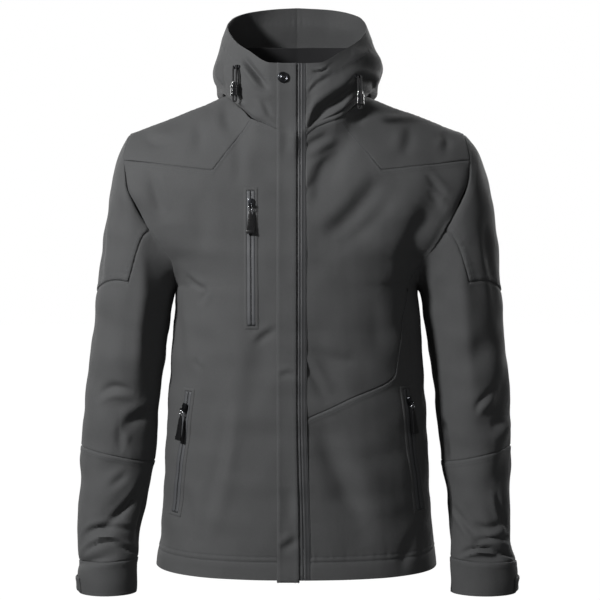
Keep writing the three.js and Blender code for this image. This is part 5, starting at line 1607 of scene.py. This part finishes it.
for pocket, joint in zip(POCKETS, frame["joints"]):
    name = pocket["node"]
    pin = Vector(joint["pos_m"]) / MM
    across = -Vector(joint["axis"])
    top, low = (Vector(on_pocket(pocket, 0, d, 0)) for d in (pocket_length(pocket), 0))
    down = (low - top)
    down = (down - across * down.dot(across)).normalized()
    out = down.cross(across).normalized()
    matrix = frame_matrix(across, out, -down, pin)
    plate = -SLIDER["pin_out"]
    shifted = [(x, z - SLIDER["pin_up"]) for x, z in SLIDER_OUTLINE]
    narrow = [(x * 0.86, z) for x, z in shifted]
    blocks = [
        prism(shifted, -plate + 2.9, -plate + 1.9, 0.3), prism(narrow, -plate + 1.7, -plate + 0.2, 0.4),
        prism([(-1.2, 8.6), (1.2, 8.6), (1.2, 5.4), (-1.2, 5.4)], -plate + 2.3, -plate + 1.2, 0),
    ]
    for sign in (-1, 1):
        blocks.append(prism([(sign * 1.75, 1.6), (sign * 2.95, 1.6), (sign * 2.95, -1.6), (sign * 1.75, -1.6)],
                            -plate + 0.6, -1.1, 0.35))
    blocks.append(tube([(-2.6, 0, 0), (0, 0, 0), (2.6, 0, 0)], 0.72, 10))
    slider = part(name + "_slider_body", blocks, matrix, "gunmetal")
    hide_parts(name + "_slider")
    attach(slider, "garment")
    ring_points = [
        (-0.95, 1.35, 0.3), (0.95, 1.35, 0.3), (1.15, 0.8, -1.3), (1.4, 0.0, -2.6), (2.7, -0.1, -4.3), (2.8, -0.1, -6.4),
        (1.4, 0, -7.6), (-1.4, 0, -7.6), (-2.8, -0.1, -6.4), (-2.7, -0.1, -4.3), (-1.4, 0, -2.6), (-1.15, 0.8, -1.3),
    ]
    ring = part(name + "_ring", [tube(ring_points, 0.5, 8, True)], matrix, "bright_metal")
    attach(ring, joint["child"])
    stretch = pocket["pull"] / 42
    outline = [(x, z * stretch) for x, z in TAB_OUTLINE]
    foot = [(x, -z * stretch) for x, z in ((-5.75, 37), (5.75, 37), (5.75, 42), (-5.75, 42))]
    blocks = [prism(outline, 1.0, -1.2, 0.5), prism(foot, 1.3, -1.6, 0.6)]
    for z in (20, 24, 28):
        half = 2.0 + (z - 14) * 0.075
        rib = [(-half, -z * stretch), (half, -z * stretch), (half, -(z + 1.6) * stretch), (-half, -(z + 1.6) * stretch)]
        blocks.append(prism(rib, 0, -1.55, 0.25))
    for sign in (-1, 1):
        blocks.append(tube([(sign * 0.95, 0, -12.5), (sign * 0.95, 0, -9), (sign * 0.8, 0.6, -7.2), (sign * 0.6, -0.8, -6.4)],
                           0.75, 8))
    tab = part(name + "_tab", blocks, matrix, "pull_rubber")
    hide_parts(name + "_pull")
    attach(tab, joint["child"])
    print(f"{name}: slider {len(slider.data.polygons)} faces, tab {len(tab.data.polygons)}, pin {[round(p, 1) for p in pin]}")

# %% [markdown]
# ## Snap, eyelets, cords and locks
# The snap's cap is turned metal: a rolled rim round a shallow dish with a dome. Each hood cord comes out of an oval
# eyelet as a loop of two strands, runs through a spring lock and hangs down a little below it.

# %% Snap
def turned(profile, sides=40):
    """A turned shape: distance from the axis and distance out of the cloth."""
    bm = bmesh.new()
    rings = []
    for r, out in profile:
        if r == 0:
            rings.append([bm.verts.new((0, -out, 0))])
        else:
            angles = np.linspace(0, 2 * np.pi, sides, endpoint=False)
            rings.append([bm.verts.new((r * math.cos(a), -out, r * math.sin(a))) for a in angles])
    for a, b in zip(rings[:-1], rings[1:]):
        for k in range(sides):
            n = (k + 1) % sides
            corners = [a[k % len(a)], a[n % len(a)], b[n % len(b)], b[k % len(b)]]
            bm.faces.new(list(dict.fromkeys(corners)))
    bmesh.ops.recalc_face_normals(bm, faces=bm.faces)
    return bm


snap_box = [Vector(v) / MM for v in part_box("snap")]
snap_middle = (snap_box[0] + snap_box[1]) / 2
snap_place = Vector((snap_middle.x, snap_box[1].y, snap_middle.z))
SNAP = [
    (0, 0), (7.4, 0), (7.8, 0.5), (7.8, 1.1), (7.3, 1.9), (6.5, 2.2), (5.8, 1.9), (5.3, 1.2), (4.4, 1.0),
    (3.9, 1.3), (3.1, 2.0), (1.8, 2.45), (0, 2.6),
]
matrix = frame_matrix(Vector((1, 0, 0)), Vector((0, -1, 0)), Vector((0, 0, 1)), snap_place)
snap = part("snap_cap", [turned(SNAP)], matrix, "gunmetal")
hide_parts("snap")
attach(snap, "garment")
print("snap at", [round(v, 1) for v in snap_place], len(snap.data.polygons), "faces")

# %% Eyelets, cords and locks
CORD = {"radius": 1.3, "apart": 4.6, "out": 4.7}
LOCK = {"wide": 12.5, "deep": 8.5, "tall": 20, "above": 2}
CORDS = (
    {"side": "right", "turn": 51, "v": 0.79, "drop": 52, "forward": 12, "lock": 34},
    {"side": "left", "turn": 50, "v": 0.69, "drop": 48, "forward": 12, "lock": 32},
)


def oval(wide, deep, count=24):
    half, r = (wide - deep) / 2, deep / 2
    right = [(half + r * math.cos(a), r * math.sin(a)) for a in np.linspace(-math.pi / 2, math.pi / 2, count // 2)]
    return right + [(-x, -z) for x, z in right]


def strand_points(top, row):
    """Down one strand, round the loop's end and up the other."""
    r = CORD["apart"] / 2
    straight = row["drop"] - r
    upright = row["lock"] - LOCK["tall"] / 2 - LOCK["above"]
    points = [(-r, d) for d in np.linspace(0, straight, 26)]
    points += [(-r * math.cos(a), straight + r * math.sin(a)) for a in np.linspace(0, math.pi, 12)[1:-1]]
    points += [(r, d) for d in np.linspace(straight, 0, 26)]
    out = []
    for across, down in points:
        lean = row["forward"] * math.sin(math.pi / 2 * min(max(down / upright, 0), 1))
        out.append(Vector((top.x + across, top.y - lean, top.z - down)))
    return out


def cord_object(name, points, radius):
    data = bpy.data.curves.new(name, "CURVE")
    data.dimensions = "3D"
    data.bevel_depth = radius * MM
    data.bevel_resolution = 3
    spline = data.splines.new("POLY")
    spline.points.add(len(points) - 1)
    for point, place in zip(spline.points, points):
        point.co = (*((place - Vector((0, 0, SHOULDERS))) * MM), 1)
    data.use_fill_caps = True
    obj = bpy.data.objects.new(name, data)
    bpy.context.scene.collection.objects.link(obj)
    data.materials.append(MATERIALS["drawcord"])
    return obj


def vec(*values):
    return Vector([float(v) for v in values])


for row in CORDS:
    side = row["side"]
    sign = 1 if side == "left" else -1
    at = lambda turn, v: vec(*hood(sign, np.array(float(turn)), np.array(float(v))))
    place = at(row["turn"], row["v"])
    beside = (at(row["turn"] + 3, row["v"]) - at(row["turn"] - 3, row["v"])) * sign
    above = at(row["turn"], row["v"] + 0.03) - at(row["turn"], row["v"] - 0.03)
    normal = beside.cross(above).normalized()
    across = Vector((0, 0, 1)).cross(normal).normalized()
    up = normal.cross(across)
    down_by = Vector((0, 0, SHOULDERS))
    matrix = frame_matrix(across, normal, up, place + normal * 0.5 - down_by)
    rim = [(x, -0.5, z) for x, z in oval(9.6, 5.5, 20)]
    eyelet = part(f"eyelet_{side}_ring", [tube(rim, 0.75, 8, True)], matrix, "gunmetal")
    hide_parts(f"eyelet_{side}")
    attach(eyelet, "garment")
    # No opening is cut in the hood here: a flat black oval is painted inside the eyelet's ring as the shade of its
    # opening.
    painted_hole_shade = part(f"eyelet_{side}_hole", [prism(oval(8.6, 4.6), 0.2, -0.2, 0)], matrix, "lock_plastic")
    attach(painted_hole_shade, "garment")
    top = place + normal * CORD["out"]
    points = strand_points(top, row)
    cord = cord_object(f"cord_{side}_loop", points, CORD["radius"])
    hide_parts(f"cord_{side}")
    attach(cord, "garment")
    lock_top = Vector((top.x, top.y - row["forward"], top.z - row["lock"] + LOCK["tall"] / 2)) - down_by
    lying = Matrix.Rotation(math.pi / 2, 4, "X")
    matrix = Matrix.Translation(lock_top) @ lying
    blocks = [
        prism(oval(11.4, 7.6), -4.4, -18.6, 0.9), prism(oval(12.5, 8.5), -5.6, -9.0, 0.7),
        prism(oval(12.5, 8.5), -16.2, -20.0, 1.0), prism(oval(8.6, 6.0), 0, -6, 0.9),
    ]
    for z in (10.6, 12.6, 14.6):
        blocks.append(prism(oval(12.1, 8.2), -z, -z - 0.9, 0.3))
    lock = part(f"cord_lock_{side}_body", blocks, matrix, "lock_plastic")
    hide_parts(f"cord_lock_{side}")
    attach(lock, "garment")
